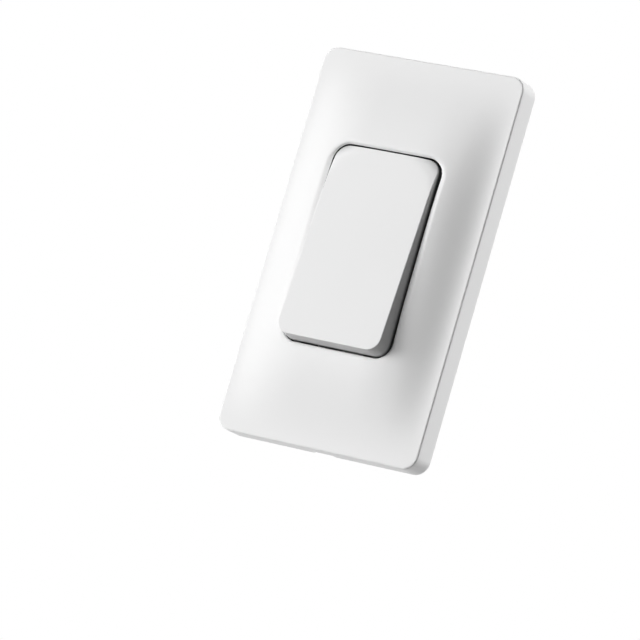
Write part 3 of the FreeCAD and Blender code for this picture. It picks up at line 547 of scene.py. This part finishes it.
def grain_group():
    """Node group for moulded plastic: fine spark-eroded grain and faint flow marks."""
    if "Moulded grain" in bpy.data.node_groups:
        return bpy.data.node_groups["Moulded grain"]
    group, place, scale, grain = finish_group("Moulded grain", "Grain scale", "NodeSocketFloat", 38.0, 0.05)
    set_inputs(grain, {"Detail": 3.0, "Roughness": 0.6})
    group.links.new(place, grain.inputs["Vector"])
    group.links.new(scale, grain.inputs["Scale"])
    return group


def drawn_group():
    """Node group for rolled and drawn metal: streaks along one direction and a mottled tone."""
    if "Drawn metal" in bpy.data.node_groups:
        return bpy.data.node_groups["Drawn metal"]
    group, place, amount, streak = finish_group("Drawn metal", "Stretch", "NodeSocketVector", 260.0, 0.1)
    set_inputs(streak, {"Scale": 1.0, "Detail": 4.0})
    stretch = group.nodes.new("ShaderNodeVectorMath")
    stretch.operation = "MULTIPLY"
    group.links.new(place, stretch.inputs[0])
    group.links.new(amount, stretch.inputs[1])
    group.links.new(stretch.outputs["Vector"], streak.inputs["Vector"])
    return group


def shaded(colour, factor):
    """Colour made a little darker."""
    return [c * factor for c in colour] + [1.0]


def finished(name, group, values, bump_strength, bump_depth):
    """Material whose colour, roughness and relief come from a node group, and its shader."""
    material, nodes, links, shader = new_material(name)
    pattern = nodes.new("ShaderNodeGroup")
    pattern.node_tree = group
    set_inputs(pattern, values)
    bump = nodes.new("ShaderNodeBump")
    set_inputs(bump, {"Strength": bump_strength, "Distance": bump_depth})
    links.new(pattern.outputs["Colour"], shader.inputs["Base Color"])
    links.new(pattern.outputs["Roughness"], shader.inputs["Roughness"])
    links.new(pattern.outputs["Height"], bump.inputs["Height"])
    links.new(bump.outputs["Normal"], shader.inputs["Normal"])
    return material, shader


def plastic(finish, name):
    """Moulded plastic with its own grain."""
    if name in bpy.data.materials:
        return bpy.data.materials[name]
    paint_name, roughness, grain_scale, grain_depth, specular = PLASTICS[name]
    colour = getattr(finish, paint_name)
    values = {"Colour": shaded(colour, 1.0), "Shade": shaded(colour, PLASTIC_SHADE),
              "Grain scale": grain_scale, "Roughness": roughness}
    material, shader = finished(name, grain_group(), values, PLASTIC_RELIEF, grain_depth * MM)
    set_inputs(shader, {"IOR": PLASTIC_IOR, "Specular IOR Level": specular})
    return material


def metal(finish, name):
    """Rolled or drawn metal with streaks across the stretched direction."""
    if name in bpy.data.materials:
        return bpy.data.materials[name]
    paint_name, roughness, stretch = METALS[name]
    colour = getattr(finish, paint_name)
    values = {"Colour": shaded(colour, 1.0), "Shade": shaded(colour, METAL_SHADE),
              "Stretch": stretch, "Roughness": roughness}
    material, shader = finished(name, drawn_group(), values, METAL_RELIEF, STREAK_DEPTH)
    shader.inputs["Metallic"].default_value = 1.0
    return material


def dress(node, material):
    """Gives a CAD node its finish."""
    mesh = frame["nodes"][node].data
    mesh.materials.clear()
    mesh.materials.append(material)


def outside(half_x, half_z, radius, x, z):
    """How far a place lies outside a round-cornered rectangle, or below zero within it."""
    over_x = abs(x) - (half_x - radius)
    over_z = abs(z) - (half_z - radius)
    return math.hypot(max(over_x, 0.0), max(over_z, 0.0)) + min(max(over_x, over_z), 0.0) - radius


def corner_fall(size, plate, x, z):
    """How far the key's face lies lower at its upper corners."""
    beyond = outside(plate.window_width / 2 + size.fall_land, plate.window_height / 2 + size.fall_land,
                     size.fall_radius, x, z)
    beyond = max(beyond, 0.0)
    return size.fall_slope * beyond * beyond / (beyond + size.fall_ease)


def key_plastic_painted_shade(finish, size, lip):
    """White plastic of the key with painted shade, dark where the key dips into the window, in place of the
    shadow in the gap.
    """
    material = plastic(finish, "shell plastic").copy()
    material.name = "key plastic"
    nodes, links = material.node_tree.nodes, material.node_tree.links
    shader = nodes["Principled BSDF"]
    place = nodes.new("ShaderNodeTexCoord")
    split = nodes.new("ShaderNodeSeparateXYZ")
    # Painted shade: the colour turns to the dark collar tone below the lip's level, in the key's own frame
    depth = nodes.new("ShaderNodeMapRange")
    depth.interpolation_type = "SMOOTHSTEP"
    set_inputs(depth, {"From Min": -lip - size.painted_shade_start, "From Max": -lip + size.painted_shade_end})
    mix = nodes.new("ShaderNodeMix")
    mix.data_type = "RGBA"
    mix.inputs["B"].default_value = shaded(finish.collar, 1.0)
    colour = shader.inputs["Base Color"].links[0].from_socket
    links.new(place.outputs["Object"], split.inputs["Vector"])
    links.new(split.outputs["Y"], depth.inputs["Value"])
    links.new(depth.outputs["Result"], mix.inputs["Factor"])
    links.new(colour, mix.inputs["A"])
    links.new(mix.outputs["Result"], shader.inputs["Base Color"])
    return material


def dome_half(size, edge, foot, shoulder, lip):
    """Places and rises above the rim along one half of the dome's middle, from the rim's edge to the lip."""
    controls = (
        Vector((edge, 0.0)),
        Vector((edge - foot, 0.0)),
        Vector((edge - shoulder, size.shoulder_rise)),
        Vector((lip, size.lip + size.lip_rise - size.rim)),
    )
    half = []
    for step in range(DOME_STEPS * HALF_STEPS + 1):
        t = step / (DOME_STEPS * HALF_STEPS)
        weights = ((1 - t) ** 3, 3 * t * (1 - t) ** 2, 3 * t * t * (1 - t), t ** 3)
        half.append(sum((c * w for c, w in zip(controls, weights)), Vector((0, 0))))
    return half


def rise_at(size, half, place):
    """Rise of the dome at a distance from its middle; within the window it would go on up to the crown."""
    lip, lip_rise = half[-1]
    if place <= lip:
        slope = (lip_rise - half[-2].y) / (half[-2].x - lip)
        reach = 2 * size.crown / slope
        inward = min(lip - place, reach)
        return lip_rise + slope * inward - slope * inward ** 2 / (2 * reach)
    low, high = 0, len(half) - 1
    while high - low > 1:
        middle = (low + high) // 2
        low, high = (low, middle) if half[middle].x <= place else (middle, high)
    share = (half[low].x - place) / (half[low].x - half[high].x)
    return half[low].y + (half[high].y - half[low].y) * max(share, 0.0)


class Dome:
    """Level of the plate's front: the rise of its sides and that of its ends, one multiplied by the other."""

    def __init__(self, size):
        self.size = size
        self.side = dome_half(size, size.width / 2 - size.edge, size.foot_side, size.shoulder_side,
                              size.window_width / 2 + size.lip_land)
        self.end = dome_half(size, size.height / 2 - size.edge, size.foot_end, size.shoulder_end,
                             size.window_height / 2 + size.lip_land)
        self.top = size.lip + size.lip_rise - size.rim + size.crown

    def level(self, x, z):
        """Level above the wall at a place of the plate."""
        rise = rise_at(self.size, self.side, abs(x)) * rise_at(self.size, self.end, abs(z)) / self.top
        return self.size.rim + rise

    def lip_ring(self, grow, drop):
        """Outline round the window that follows the dome, level with the lip at the middle of the sides."""
        size = self.size
        spare = self.level(size.window_width / 2 + size.lip_edge, 0.0) - size.lip
        points = ring(size.window_width / 2 + grow, size.window_height / 2 + grow,
                      size.window_corner + grow, 0.0)
        return [Vector((p.x, spare + drop - self.level(p.x, p.z), p.z)) for p in points]


def dome_rings(size, dome):
    """Rings of the dome between the rim and the window, with the lip's rounding."""
    rings = []
    for step in range(DOME_STEPS + 1):
        half_x, half_z = dome.side[step * HALF_STEPS].x, dome.end[step * HALF_STEPS].x
        outer = size.corner - size.edge
        radius = outer + (size.window_corner + size.lip_land - outer) * step / DOME_STEPS
        rings.append([Vector((p.x, -dome.level(p.x, p.z), p.z)) for p in ring(half_x, half_z, radius, 0.0)])
    before, crest = rings[-2], rings[-1]
    edge = dome.lip_ring(size.lip_edge, size.lip_dip)
    for step in range(1, LIP_STEPS + 1):
        t = step / LIP_STEPS
        points = []
        for low, high, end in zip(before, crest, edge):
            bend = high + (high - low) * size.lip_carry * DOME_STEPS / 3
            points.append(high.lerp(bend, t).lerp(bend.lerp(end, t), t))
        rings.append(points)
    return rings


def plate_shell(size):
    """Whole moulded shell of the face plate as one closed skin, without its notch."""
    half_x = size.width / 2
    half_z = size.height / 2
    rings = []
    for s, c in quarter_turn(0, EDGE_STEPS - 1):
        inset = size.back_edge * (1 - s)
        rise = size.back_edge * (1 - c)
        rings.append(ring(half_x - inset, half_z - inset, size.corner - inset, size.back + rise))
    low = size.back + size.back_edge
    high = size.rim - size.edge
    for step in range(EDGE_STEPS):
        rings.append(ring(half_x, half_z, size.corner, low + (high - low) * step / EDGE_STEPS))
    for s, c in quarter_turn(0, EDGE_STEPS - 1):
        inset = size.edge * (1 - c)
        rise = size.edge * s
        rings.append(ring(half_x - inset, half_z - inset, size.corner - inset, high + rise))
    dome = Dome(size)
    rings += dome_rings(size, dome)
    for s, c in quarter_turn(1):
        rings.append(dome.lip_ring(size.lip_edge * (1 - s), size.lip_dip + size.lip_edge * (1 - c)))
    collar_level = size.lip - size.collar_depth
    lip = rings[-1]
    collar = ring(size.window_width / 2, size.window_height / 2, size.window_corner, collar_level)
    for step in range(1, EDGE_STEPS + 1):
        rings.append([a.lerp(b, step / EDGE_STEPS) for a, b in zip(lip, collar)])
    outer = (size.window_width / 2 + size.collar_wall, size.window_height / 2 + size.collar_wall,
             size.window_corner + size.collar_wall)
    inner = (half_x - size.wall, half_z - size.wall, size.corner - size.wall)
    rings.append(ring(*outer, collar_level))
    top = size.lip - size.wall
    bottom = size.rim - size.wall
    for step in range(EDGE_STEPS + 1):
        t = step / EDGE_STEPS
        between = [a + (b - a) * t for a, b in zip(outer, inner)]
        rings.append(ring(*between, top + (bottom - top) * t))
    for step in range(1, EDGE_STEPS + 1):
        rings.append(ring(*inner, bottom + (size.back - bottom) * step / EDGE_STEPS))
    return lofted(rings, True)


def notch_cutter(size):
    """Round-cornered block for the pry notch."""
    half = size.notch_width / 2
    top = size.back + size.notch_height
    section = [(-half, -size.notch_height), (half, -size.notch_height)]
    for arc in corner_arcs(half, top, size.notch_corner, EDGE_STEPS)[:2]:
        section += [(p.x, p.y) for p in arc]
    rings = []
    for z in (-size.height / 2 - size.wall, -size.height / 2 + NOTCH_REACH * size.wall):
        rings.append([Vector((x, -level, z)) for x, level in section])
    return lofted(rings, False)


def hinge_lug(size, side):
    """Lug beside the window with a round end and the hole for a trunnion."""
    hinge = KEY_HINGE
    near = side * size.window_width / 2
    far = side * (size.window_width / 2 + size.lug_thickness)
    top = size.lip - size.collar_depth + size.collar_wall + hinge.y
    outer, inner = [], []
    for k in range(LUG_SIDES):
        turn = 2 * math.pi * (k + 0.5) / LUG_SIDES
        out, up = math.cos(turn), math.sin(turn)
        reach = size.lug_radius
        if up > 0:
            reach = min(size.lug_radius / max(abs(out), LEAST_SHARE), top / up)
        outer.append((out * reach, up * reach))
        inner.append((out * size.lug_bore, up * size.lug_bore))
    rings = []
    for x, section in ((near, inner), (near, outer), (far, outer), (far, inner)):
        rings.append([Vector((x, hinge.y - up, hinge.z + out)) for out, up in section])
    return lofted(rings, True)


def snap_bead(size, place, turn):
    """Ridge on an inner wall that snaps into the base plate's rim."""
    half = size.bead_height / 2
    nose = BEAD_NOSE_REACH * size.bead_reach
    land = BEAD_NOSE_HEIGHT * size.bead_height
    section = [(BEAD_ROOT * size.wall, 0.0), (0.0, -half), (-nose, -land), (-size.bead_reach, 0.0),
               (-nose, land), (0.0, half)]
    spin = Matrix.Rotation(-turn, 3, "Y")
    rings = []
    for end in (-1, 1):
        rings.append([spin @ Vector((out, -size.bead_level - up, end * size.bead_length / 2)) + place
                      for out, up in section])
    return lofted(rings, False)


def in_window(size, place):
    """Whether a place on the plate's skin lies on the wall of the window."""
    gap = outside(size.window_width / 2, size.window_height / 2, size.window_corner, place.x, place.z)
    return gap < WINDOW_SLACK


class SWITCH_OT_face_plate(bpy.types.Operator):
    """Build the domed face plate with its window, lugs, beads and pry notch"""

    bl_idname = "wall_switch.face_plate"
    bl_label = "Face plate"

    def execute(self, context):
        size = context.scene.switch_plate
        finish = context.scene.switch_finish
        white = plastic(finish, "shell plastic")
        shell = cut_away(plate_shell(size), notch_cutter(size))
        # The window's wall takes the second material, the collar's painted shade
        for face in shell.faces:
            face.material_index = int(in_window(size, face.calc_center_median()))
        piece = placed("plate_shell", shell, "housing", white)
        piece.data.materials.append(plastic(finish, "collar plastic"))
        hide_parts("face_plate")
        inner_x = size.width / 2 - size.wall
        inner_z = size.height / 2 - size.wall
        fittings = [hinge_lug(size, -1), hinge_lug(size, 1)]
        for z in (-size.bead_pitch, 0.0, size.bead_pitch):
            fittings.append(snap_bead(size, Vector((inner_x, 0, z)), 0.0))
            fittings.append(snap_bead(size, Vector((-inner_x, 0, z)), math.pi))
        for x in (-size.bead_offset, size.bead_offset):
            fittings.append(snap_bead(size, Vector((x, 0, inner_z)), math.pi / 2))
            fittings.append(snap_bead(size, Vector((x, 0, -inner_z)), -math.pi / 2))
        inside = placed("plate_lugs_and_beads", merged(fittings), "housing", white)
        return {"FINISHED"}


def key_ring(size, depth, inset):
    """Outline of the level key at a depth below its face, drawn in by an inset."""
    lean = depth / size.skirt
    return ring(size.width / 2 + size.side_flare * lean - inset,
                size.height / 2 + size.end_flare * lean - inset,
                max(size.corner - inset, size.edge), size.level - depth, -size.middle)


def key_shell(size):
    """Moulded shell of the key: face, rounded edge, leaning sides and the hollow behind."""
    rings = []
    for step in range(FACE_STEPS):
        inset = size.edge + (size.width / 2 - 2 * size.edge) * (1 - step / FACE_STEPS) ** 2
        rings.append(key_ring(size, 0.0, inset))
    for s, c in quarter_turn():
        rings.append(key_ring(size, size.edge * (1 - c), size.edge * (1 - s)))
    low = size.skirt - size.skirt_edge
    for step in range(1, EDGE_STEPS + 1):
        rings.append(key_ring(size, size.edge + (low - size.edge) * step / EDGE_STEPS, 0.0))
    for s, c in quarter_turn(1):
        rings.append(key_ring(size, low + size.skirt_edge * s, size.skirt_edge * (1 - c)))
    rings.append(key_ring(size, size.skirt, size.wall))
    for step in range(1, EDGE_STEPS + 1):
        rings.append(key_ring(size, size.skirt - (size.skirt - size.wall) * step / EDGE_STEPS, size.wall))
    return lofted(rings, False)


def key_fittings(size, plate):
    """Ears with their trunnions, hooks, stiffening ribs and the pusher of the level key."""
    hinge = KEY_HINGE
    bevel = size.fitting_edge
    inside = size.level - size.wall / 2
    free_end = -size.middle - size.height / 2
    parts = []
    for side in (-1, 1):
        near, far = sorted((side * (size.width / 2 - size.wall), side * size.width / 2))
        parts.append(slab(near, far, hinge.z - size.ear, hinge.z + size.ear, -hinge.y, inside, bevel))
        parts.append(pin(near, far, size.ear, bevel, -hinge.y, hinge.z))
        near, far = sorted((side * (size.width / 2 - size.wall), side * size.trunnion_reach))
        parts.append(pin(near, far, size.trunnion, 2 * bevel, -hinge.y, hinge.z))
        low = side * size.hook_offset - size.hook_width / 2
        high = low + size.hook_width
        bottom = size.hook_level - size.hook_lip
        parts.append(slab(low, high, free_end, free_end + size.hook_wall, bottom, inside, bevel))
        parts.append(slab(low, high, -plate.window_height / 2 - size.hook_bite, free_end + size.hook_wall,
                          bottom, size.hook_level, bevel))
        rib = side * size.rib_offset
        reach = size.height / 2 - 2 * size.wall
        parts.append(slab(rib - size.rib_wall / 2, rib + size.rib_wall / 2, -size.middle - reach,
                          -size.middle + reach, size.level - size.wall - size.rib_depth, inside, bevel))
    nose = size.pusher_level + size.pusher_radius
    start = -size.pusher_start
    parts.append(slab(start, start + size.pusher_width, -size.pusher_drop - size.pusher_radius,
                      -size.pusher_drop + size.pusher_radius, nose, inside, bevel))
    parts.append(pin(start, start + size.pusher_width, size.pusher_radius, bevel, nose, -size.pusher_drop))
    return merged(parts)


def tilted_out(size, bm):
    """Turns the level key to its rest place about the hinge."""
    hinge = KEY_HINGE
    turn = Matrix.Translation(hinge) @ Matrix.Rotation(-size.tilt, 4, "X") @ Matrix.Translation(-hinge)
    bmesh.ops.transform(bm, matrix=turn, verts=bm.verts)
    return bm


class SWITCH_OT_rocker_key(bpy.types.Operator):
    """Build the rocker key with its trunnions, ears, hooks, ribs and pusher"""

    bl_idname = "wall_switch.rocker_key"
    bl_label = "Rocker key"

    def execute(self, context):
        size = context.scene.switch_key
        plate = context.scene.switch_plate
        # The key's material darkens its sides below the lip with painted shade
        white = key_plastic_painted_shade(context.scene.switch_finish, size, plate.lip)
        shell = key_shell(size)
        spread = plate.window_width / size.width
        for v in shell.verts:
            if v.co.z > 0:
                depth = size.level + v.co.y
                fall = corner_fall(size, plate, v.co.x * spread, v.co.z * spread)
                v.co.y += fall * (1 - depth / size.skirt)
        piece = placed("key_shell", tilted_out(size, shell), "key", white)
        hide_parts("rocker_key")
        fittings = tilted_out(size, key_fittings(size, plate))
        placed("key_fittings", fittings, "key", white)
        return {"FINISHED"}


class SWITCH_OT_base(bpy.types.Operator):
    """Give the base plate and its soft stops their finish"""

    bl_idname = "wall_switch.base"
    bl_label = "Base plate"

    def execute(self, context):
        finish = context.scene.switch_finish
        dress("base_plate", plastic(finish, "base plastic"))
        dress("stop_pads", plastic(finish, "pad rubber"))
        return {"FINISHED"}


def wire(path, radius, sides):
    """Round wire along a path of points, with flat ends."""
    rings = []
    side = None
    for index, here in enumerate(path):
        along = (path[min(index + 1, len(path) - 1)] - path[max(index - 1, 0)]).normalized()
        if side is None:
            side = along.orthogonal().normalized()
        side = (side - along * side.dot(along)).normalized()
        up = along.cross(side)
        rings.append([here + radius * (c * side + s * up) for c, s in circle(sides)])
    return lofted(rings, False)


def wound_turns(size):
    """Outer layer of the coil as one long wire wound round a rounded block."""
    middle = (WINDING_LOW + WINDING_HIGH) / 2
    half = (WINDING_HIGH - WINDING_LOW) / 2
    arcs = corner_arcs(half.x - size.coil_wire, half.y - size.coil_wire, size.coil_corner, COIL_CORNER_STEPS)
    lap = [p for arc in arcs for p in arc]
    low = WINDING_LOW.z + COIL_END_GAP * size.coil_wire
    high = WINDING_HIGH.z - COIL_END_GAP * size.coil_wire
    turns = int((high - low) / (COIL_TURN_PITCH * size.coil_wire))
    count = turns * len(lap)
    path = []
    for step in range(count + 1):
        place = lap[step % len(lap)]
        path.append(Vector((middle.x + place.x, middle.y + place.y, low + (high - low) * step / count)))
    return wire(path, size.coil_wire, COIL_SIDES)


def wound_body(size):
    """Lower layers of the coil, under its outer turns."""
    middle = (WINDING_LOW + WINDING_HIGH) / 2
    half = (WINDING_HIGH - WINDING_LOW) / 2
    inset = COIL_LAYER_INSET * size.coil_wire
    outer = outline(half.x - inset, half.y - inset, size.coil_corner)
    inner = outline(size.tube_width / 2, size.tube_depth / 2, size.tube_corner)
    low, high = WINDING_LOW.z, WINDING_HIGH.z
    rings = []
    for z, section in ((low, inner), (low, outer), (high, outer), (high, inner)):
        rings.append([Vector((middle.x + q.x, middle.y + q.y, z)) for q in section])
    return lofted(rings, True)


def spring_path(size):
    """Middle line of the reset spring: upper leg, coil round the pivot, lower leg."""
    pivot = ARM_PIVOT
    start = SPRING_LOW.x + size.spring_wire
    end = SPRING_HIGH.x - size.spring_wire
    count = int(size.spring_turns * SPRING_TURN_STEPS)
    legs = [size.spring_leg * step / SPRING_LEG_STEPS for step in range(1, SPRING_LEG_STEPS + 1)]
    path = [Vector((start, pivot.y - size.spring_coil, pivot.z - leg)) for leg in reversed(legs)]
    for step in range(count + 1):
        turn = math.pi / 2 - 2 * math.pi * size.spring_turns * step / count
        path.append(Vector((start + (end - start) * step / count, pivot.y - size.spring_coil * math.sin(turn),
                            pivot.z + size.spring_coil * math.cos(turn))))
    path += [Vector((end, pivot.y + size.spring_coil, pivot.z - leg)) for leg in legs]
    return path


def solder_joint(place, radius):
    """Low round cone of solder on the board."""
    rings = []
    for step in range(EDGE_STEPS):
        t = step / EDGE_STEPS
        reach = radius * (1 - t) ** SOLDER_HOLLOW + SOLDER_TIP * radius
        height = SOLDER_HEIGHT * radius * t
        rings.append([place + Vector((reach * c, -height, reach * s)) for c, s in circle(SOLDER_SIDES)])
    return lofted(rings, False)


class SWITCH_OT_wires(bpy.types.Operator):
    """Wind the coil, lay its leads and coil the reset spring"""

    bl_idname = "wall_switch.wires"
    bl_label = "Coil and springs"

    def execute(self, context):
        size = context.scene.switch_wire
        finish = context.scene.switch_finish
        copper = metal(finish, "copper wire")
        body = placed("coil_lower_layers", wound_body(size), "housing", copper)
        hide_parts("coil_winding")
        placed("coil_outer_turns", wound_turns(size), "housing", copper, SHARP_WIRE)
        level = -LEADS_HIGH.y + size.lead_wire
        leads, joints = [], []
        for x in (LEADS_LOW.x + size.lead_wire, LEADS_HIGH.x - size.lead_wire):
            start, end = Vector((x, -level, LEADS_LOW.z)), Vector((x, -level, LEADS_HIGH.z))
            path = [start.lerp(end, step / LEAD_STEPS) for step in range(LEAD_STEPS + 1)]
            leads.append(wire(path, size.lead_wire, LEAD_SIDES))
            joints.append(solder_joint(Vector((x, LEADS_HIGH.y, LEADS_HIGH.z)), size.solder))
        piece = placed("coil_lead_wires", merged(leads), "housing", copper)
        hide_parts("coil_leads")
        placed("solder_joints", merged(joints), "housing", metal(finish, "solder"))
        steel = metal(finish, "spring steel")
        path = spring_path(size)
        spring = placed("reset_coil", wire(path, size.spring_wire, SPRING_SIDES), None, steel, SHARP_WIRE)
        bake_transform(spring)
        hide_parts("reset_spring")
        return {"FINISHED"}


class SWITCH_OT_generator(bpy.types.Operator):
    """Give the generator's case, core, magnet, arm and leaf spring their finish"""

    bl_idname = "wall_switch.generator"
    bl_label = "Generator"

    def execute(self, context):
        finish = context.scene.switch_finish
        for node in ("generator_case", "generator_cover"):
            dress(node, plastic(finish, "case plastic"))
        for node in ("upper_core", "lower_core", "upper_pole_plate", "lower_pole_plate"):
            dress(node, metal(finish, "core iron"))
        dress("leaf_spring", metal(finish, "spring steel"))
        dress("coil_bobbin", plastic(finish, "bobbin resin"))
        dress("swing_arm", plastic(finish, "arm plastic"))
        dress("magnet", metal(finish, "magnet plating"))
        return {"FINISHED"}


class SWITCH_OT_electronics(bpy.types.Operator):
    """Give the circuit board, its components and the antenna their finish"""

    bl_idname = "wall_switch.electronics"
    bl_label = "Electronics"

    def execute(self, context):
        finish = context.scene.switch_finish
        dress("circuit_board", plastic(finish, "solder mask"))
        for node in ("radio_chip", "rectifier_bridge"):
            dress(node, plastic(finish, "chip resin"))
        dress("quartz_crystal", metal(finish, "crystal lid"))
        dress("storage_capacitor", metal(finish, "capacitor can"))
        dress("antenna_strip", metal(finish, "antenna brass"))
        return {"FINISHED"}


def seen_ray(nodes, links):
    """Socket that is one for rays from the camera and for those seen in reflections or through glass."""
    path = nodes.new("ShaderNodeLightPath")
    seen = path.outputs["Is Camera Ray"]
    for name in ("Is Glossy Ray", "Is Transmission Ray"):
        either = nodes.new("ShaderNodeMath")
        either.operation = "MAXIMUM"
        links.new(seen, either.inputs[0])
        links.new(path.outputs[name], either.inputs[1])
        seen = either.outputs["Value"]
    return seen


def lamp(name, direction, power, size, distance):
    """Round soft lamp that shines on the switch from a direction."""
    data = bpy.data.lights.new(name, "AREA")
    data.shape = "DISK"
    data.size = size
    data.energy = power * math.pi ** 2 * distance ** 2
    item = bpy.data.objects.new(name, data)
    item.location = direction.normalized() * distance
    item.rotation_mode = "QUATERNION"
    item.rotation_quaternion = direction.to_track_quat("Z", "Y")
    item.visible_camera = False
    bpy.context.scene.collection.objects.link(item)


class SWITCH_OT_stage(bpy.types.Operator):
    """Set up the camera, the lamps, the white surroundings and the floor"""

    bl_idname = "wall_switch.stage"
    bl_label = "Stage"

    def execute(self, context):
        scene = context.scene
        stage = scene.switch_stage
        scene.view_settings.view_transform = "Standard"
        self.add_camera(scene, stage)
        for name, direction in LAMPS:
            lamp(name, direction, getattr(stage, name), stage.lamp_size, stage.lamp_distance)
        self.add_world(scene, stage)
        self.add_floor(scene, stage, scene.switch_finish)
        return {"FINISHED"}

    def add_camera(self, scene, stage):
        """Camera at the photograph's viewing angle, turned about its line of sight."""
        flat = math.cos(stage.elevation)
        back = Vector((math.sin(stage.azimuth) * flat, -math.cos(stage.azimuth) * flat,
                       math.sin(stage.elevation)))
        right = (-back).cross(Vector((0, 0, 1))).normalized()
        up = right.cross(-back)
        c, s = math.cos(stage.roll), math.sin(stage.roll)
        axes = (right * c + up * s, up * c - right * s, back)
        camera = bpy.data.cameras.new("camera")
        camera.lens = stage.lens
        camera.clip_start = CLIP_NEAR
        camera.clip_end = CLIP_FAR
        item = bpy.data.objects.new("camera", camera)
        turn = Matrix(axes).transposed().to_4x4()
        item.matrix_world = Matrix.Translation(AIM + back * stage.distance) @ turn
        scene.collection.objects.link(item)
        scene.camera = item

    def add_world(self, scene, stage):
        """Surroundings that look white to the camera and in reflections, and shed the ambient light."""
        world = bpy.data.worlds.new("surroundings")
        world.use_nodes = True
        nodes, links = world.node_tree.nodes, world.node_tree.links
        light = nodes["Background"]
        set_inputs(light, {"Color": (1.0, 1.0, 1.0, 1.0), "Strength": stage.ambient})
        white = nodes.new("ShaderNodeBackground")
        white.inputs["Color"].default_value = (1.0, 1.0, 1.0, 1.0)
        mix = nodes.new("ShaderNodeMixShader")
        links.new(seen_ray(nodes, links), mix.inputs["Fac"])
        links.new(light.outputs["Background"], mix.inputs[1])
        links.new(white.outputs["Background"], mix.inputs[2])
        links.new(mix.outputs["Shader"], nodes["World Output"].inputs["Surface"])
        scene.world = world

    def floor_paint(self, finish):
        """Floor paint that looks pale in the picture and sheds little light of its own on the switch."""
        material = plastic(finish, "floor paint")
        nodes, links = material.node_tree.nodes, material.node_tree.links
        glow = nodes.new("ShaderNodeEmission")
        glow.inputs["Color"].default_value = shaded(finish.floor_glow, 1.0)
        links.new(seen_ray(nodes, links), glow.inputs["Strength"])
        both = nodes.new("ShaderNodeAddShader")
        links.new(nodes["Principled BSDF"].outputs["BSDF"], both.inputs[0])
        links.new(glow.outputs["Emission"], both.inputs[1])
        links.new(both.outputs["Shader"], nodes["Material Output"].inputs["Surface"])
        return material

    def add_floor(self, scene, stage, finish):
        """Wide pale floor, far below the switch and out of the picture."""
        bm = bmesh.new()
        bmesh.ops.create_grid(bm, x_segments=1, y_segments=1, size=stage.floor_size)
        mesh = bpy.data.meshes.new("floor")
        bm.to_mesh(mesh)
        bm.free()
        mesh.materials.append(self.floor_paint(finish))
        floor = bpy.data.objects.new("floor", mesh)
        floor.location.z = -stage.floor_drop
        scene.collection.objects.link(floor)


class SWITCH_PT_panel(bpy.types.Panel):
    """Sidebar panel with the steps in order"""

    bl_label = "Wall Switch"
    bl_idname = "SWITCH_PT_panel"
    bl_space_type = "VIEW_3D"
    bl_region_type = "UI"
    bl_category = "Wall Switch"

    def draw(self, context):
        for step in STEPS:
            self.layout.operator(step.bl_idname)
        for key in GROUPS:
            group = getattr(context.scene, key)
            box = self.layout.box()
            for name in group.bl_rna.properties.keys():
                if name not in ("rna_type", "name"):
                    box.prop(group, name)


GROUPS = {
    "switch_plate": PlateSizes,
    "switch_key": KeySizes,
    "switch_wire": WireSizes,
    "switch_finish": Finishes,
    "switch_stage": StageSizes,
}
STEPS = (SWITCH_OT_stage, SWITCH_OT_face_plate, SWITCH_OT_rocker_key, SWITCH_OT_base, SWITCH_OT_wires,
         SWITCH_OT_generator, SWITCH_OT_electronics)


def register():
    """Registers the groups, the operators and the panel."""
    for name, group in GROUPS.items():
        bpy.utils.register_class(group)
        setattr(bpy.types.Scene, name, bpy.props.PointerProperty(type=group))
    for step in STEPS:
        bpy.utils.register_class(step)
    bpy.utils.register_class(SWITCH_PT_panel)


def unregister():
    """Takes everything out again."""
    bpy.utils.unregister_class(SWITCH_PT_panel)
    for step in reversed(STEPS):
        bpy.utils.unregister_class(step)
    for name, group in GROUPS.items():
        delattr(bpy.types.Scene, name)
        bpy.utils.unregister_class(group)


def main():
    """Builds the dressed switch."""
    register()
    bpy.ops.wall_switch.stage()
    bpy.ops.wall_switch.face_plate()
    bpy.ops.wall_switch.rocker_key()
    bpy.ops.wall_switch.base()
    bpy.ops.wall_switch.wires()
    bpy.ops.wall_switch.generator()
    bpy.ops.wall_switch.electronics()


if __name__ == "__main__":
    main()
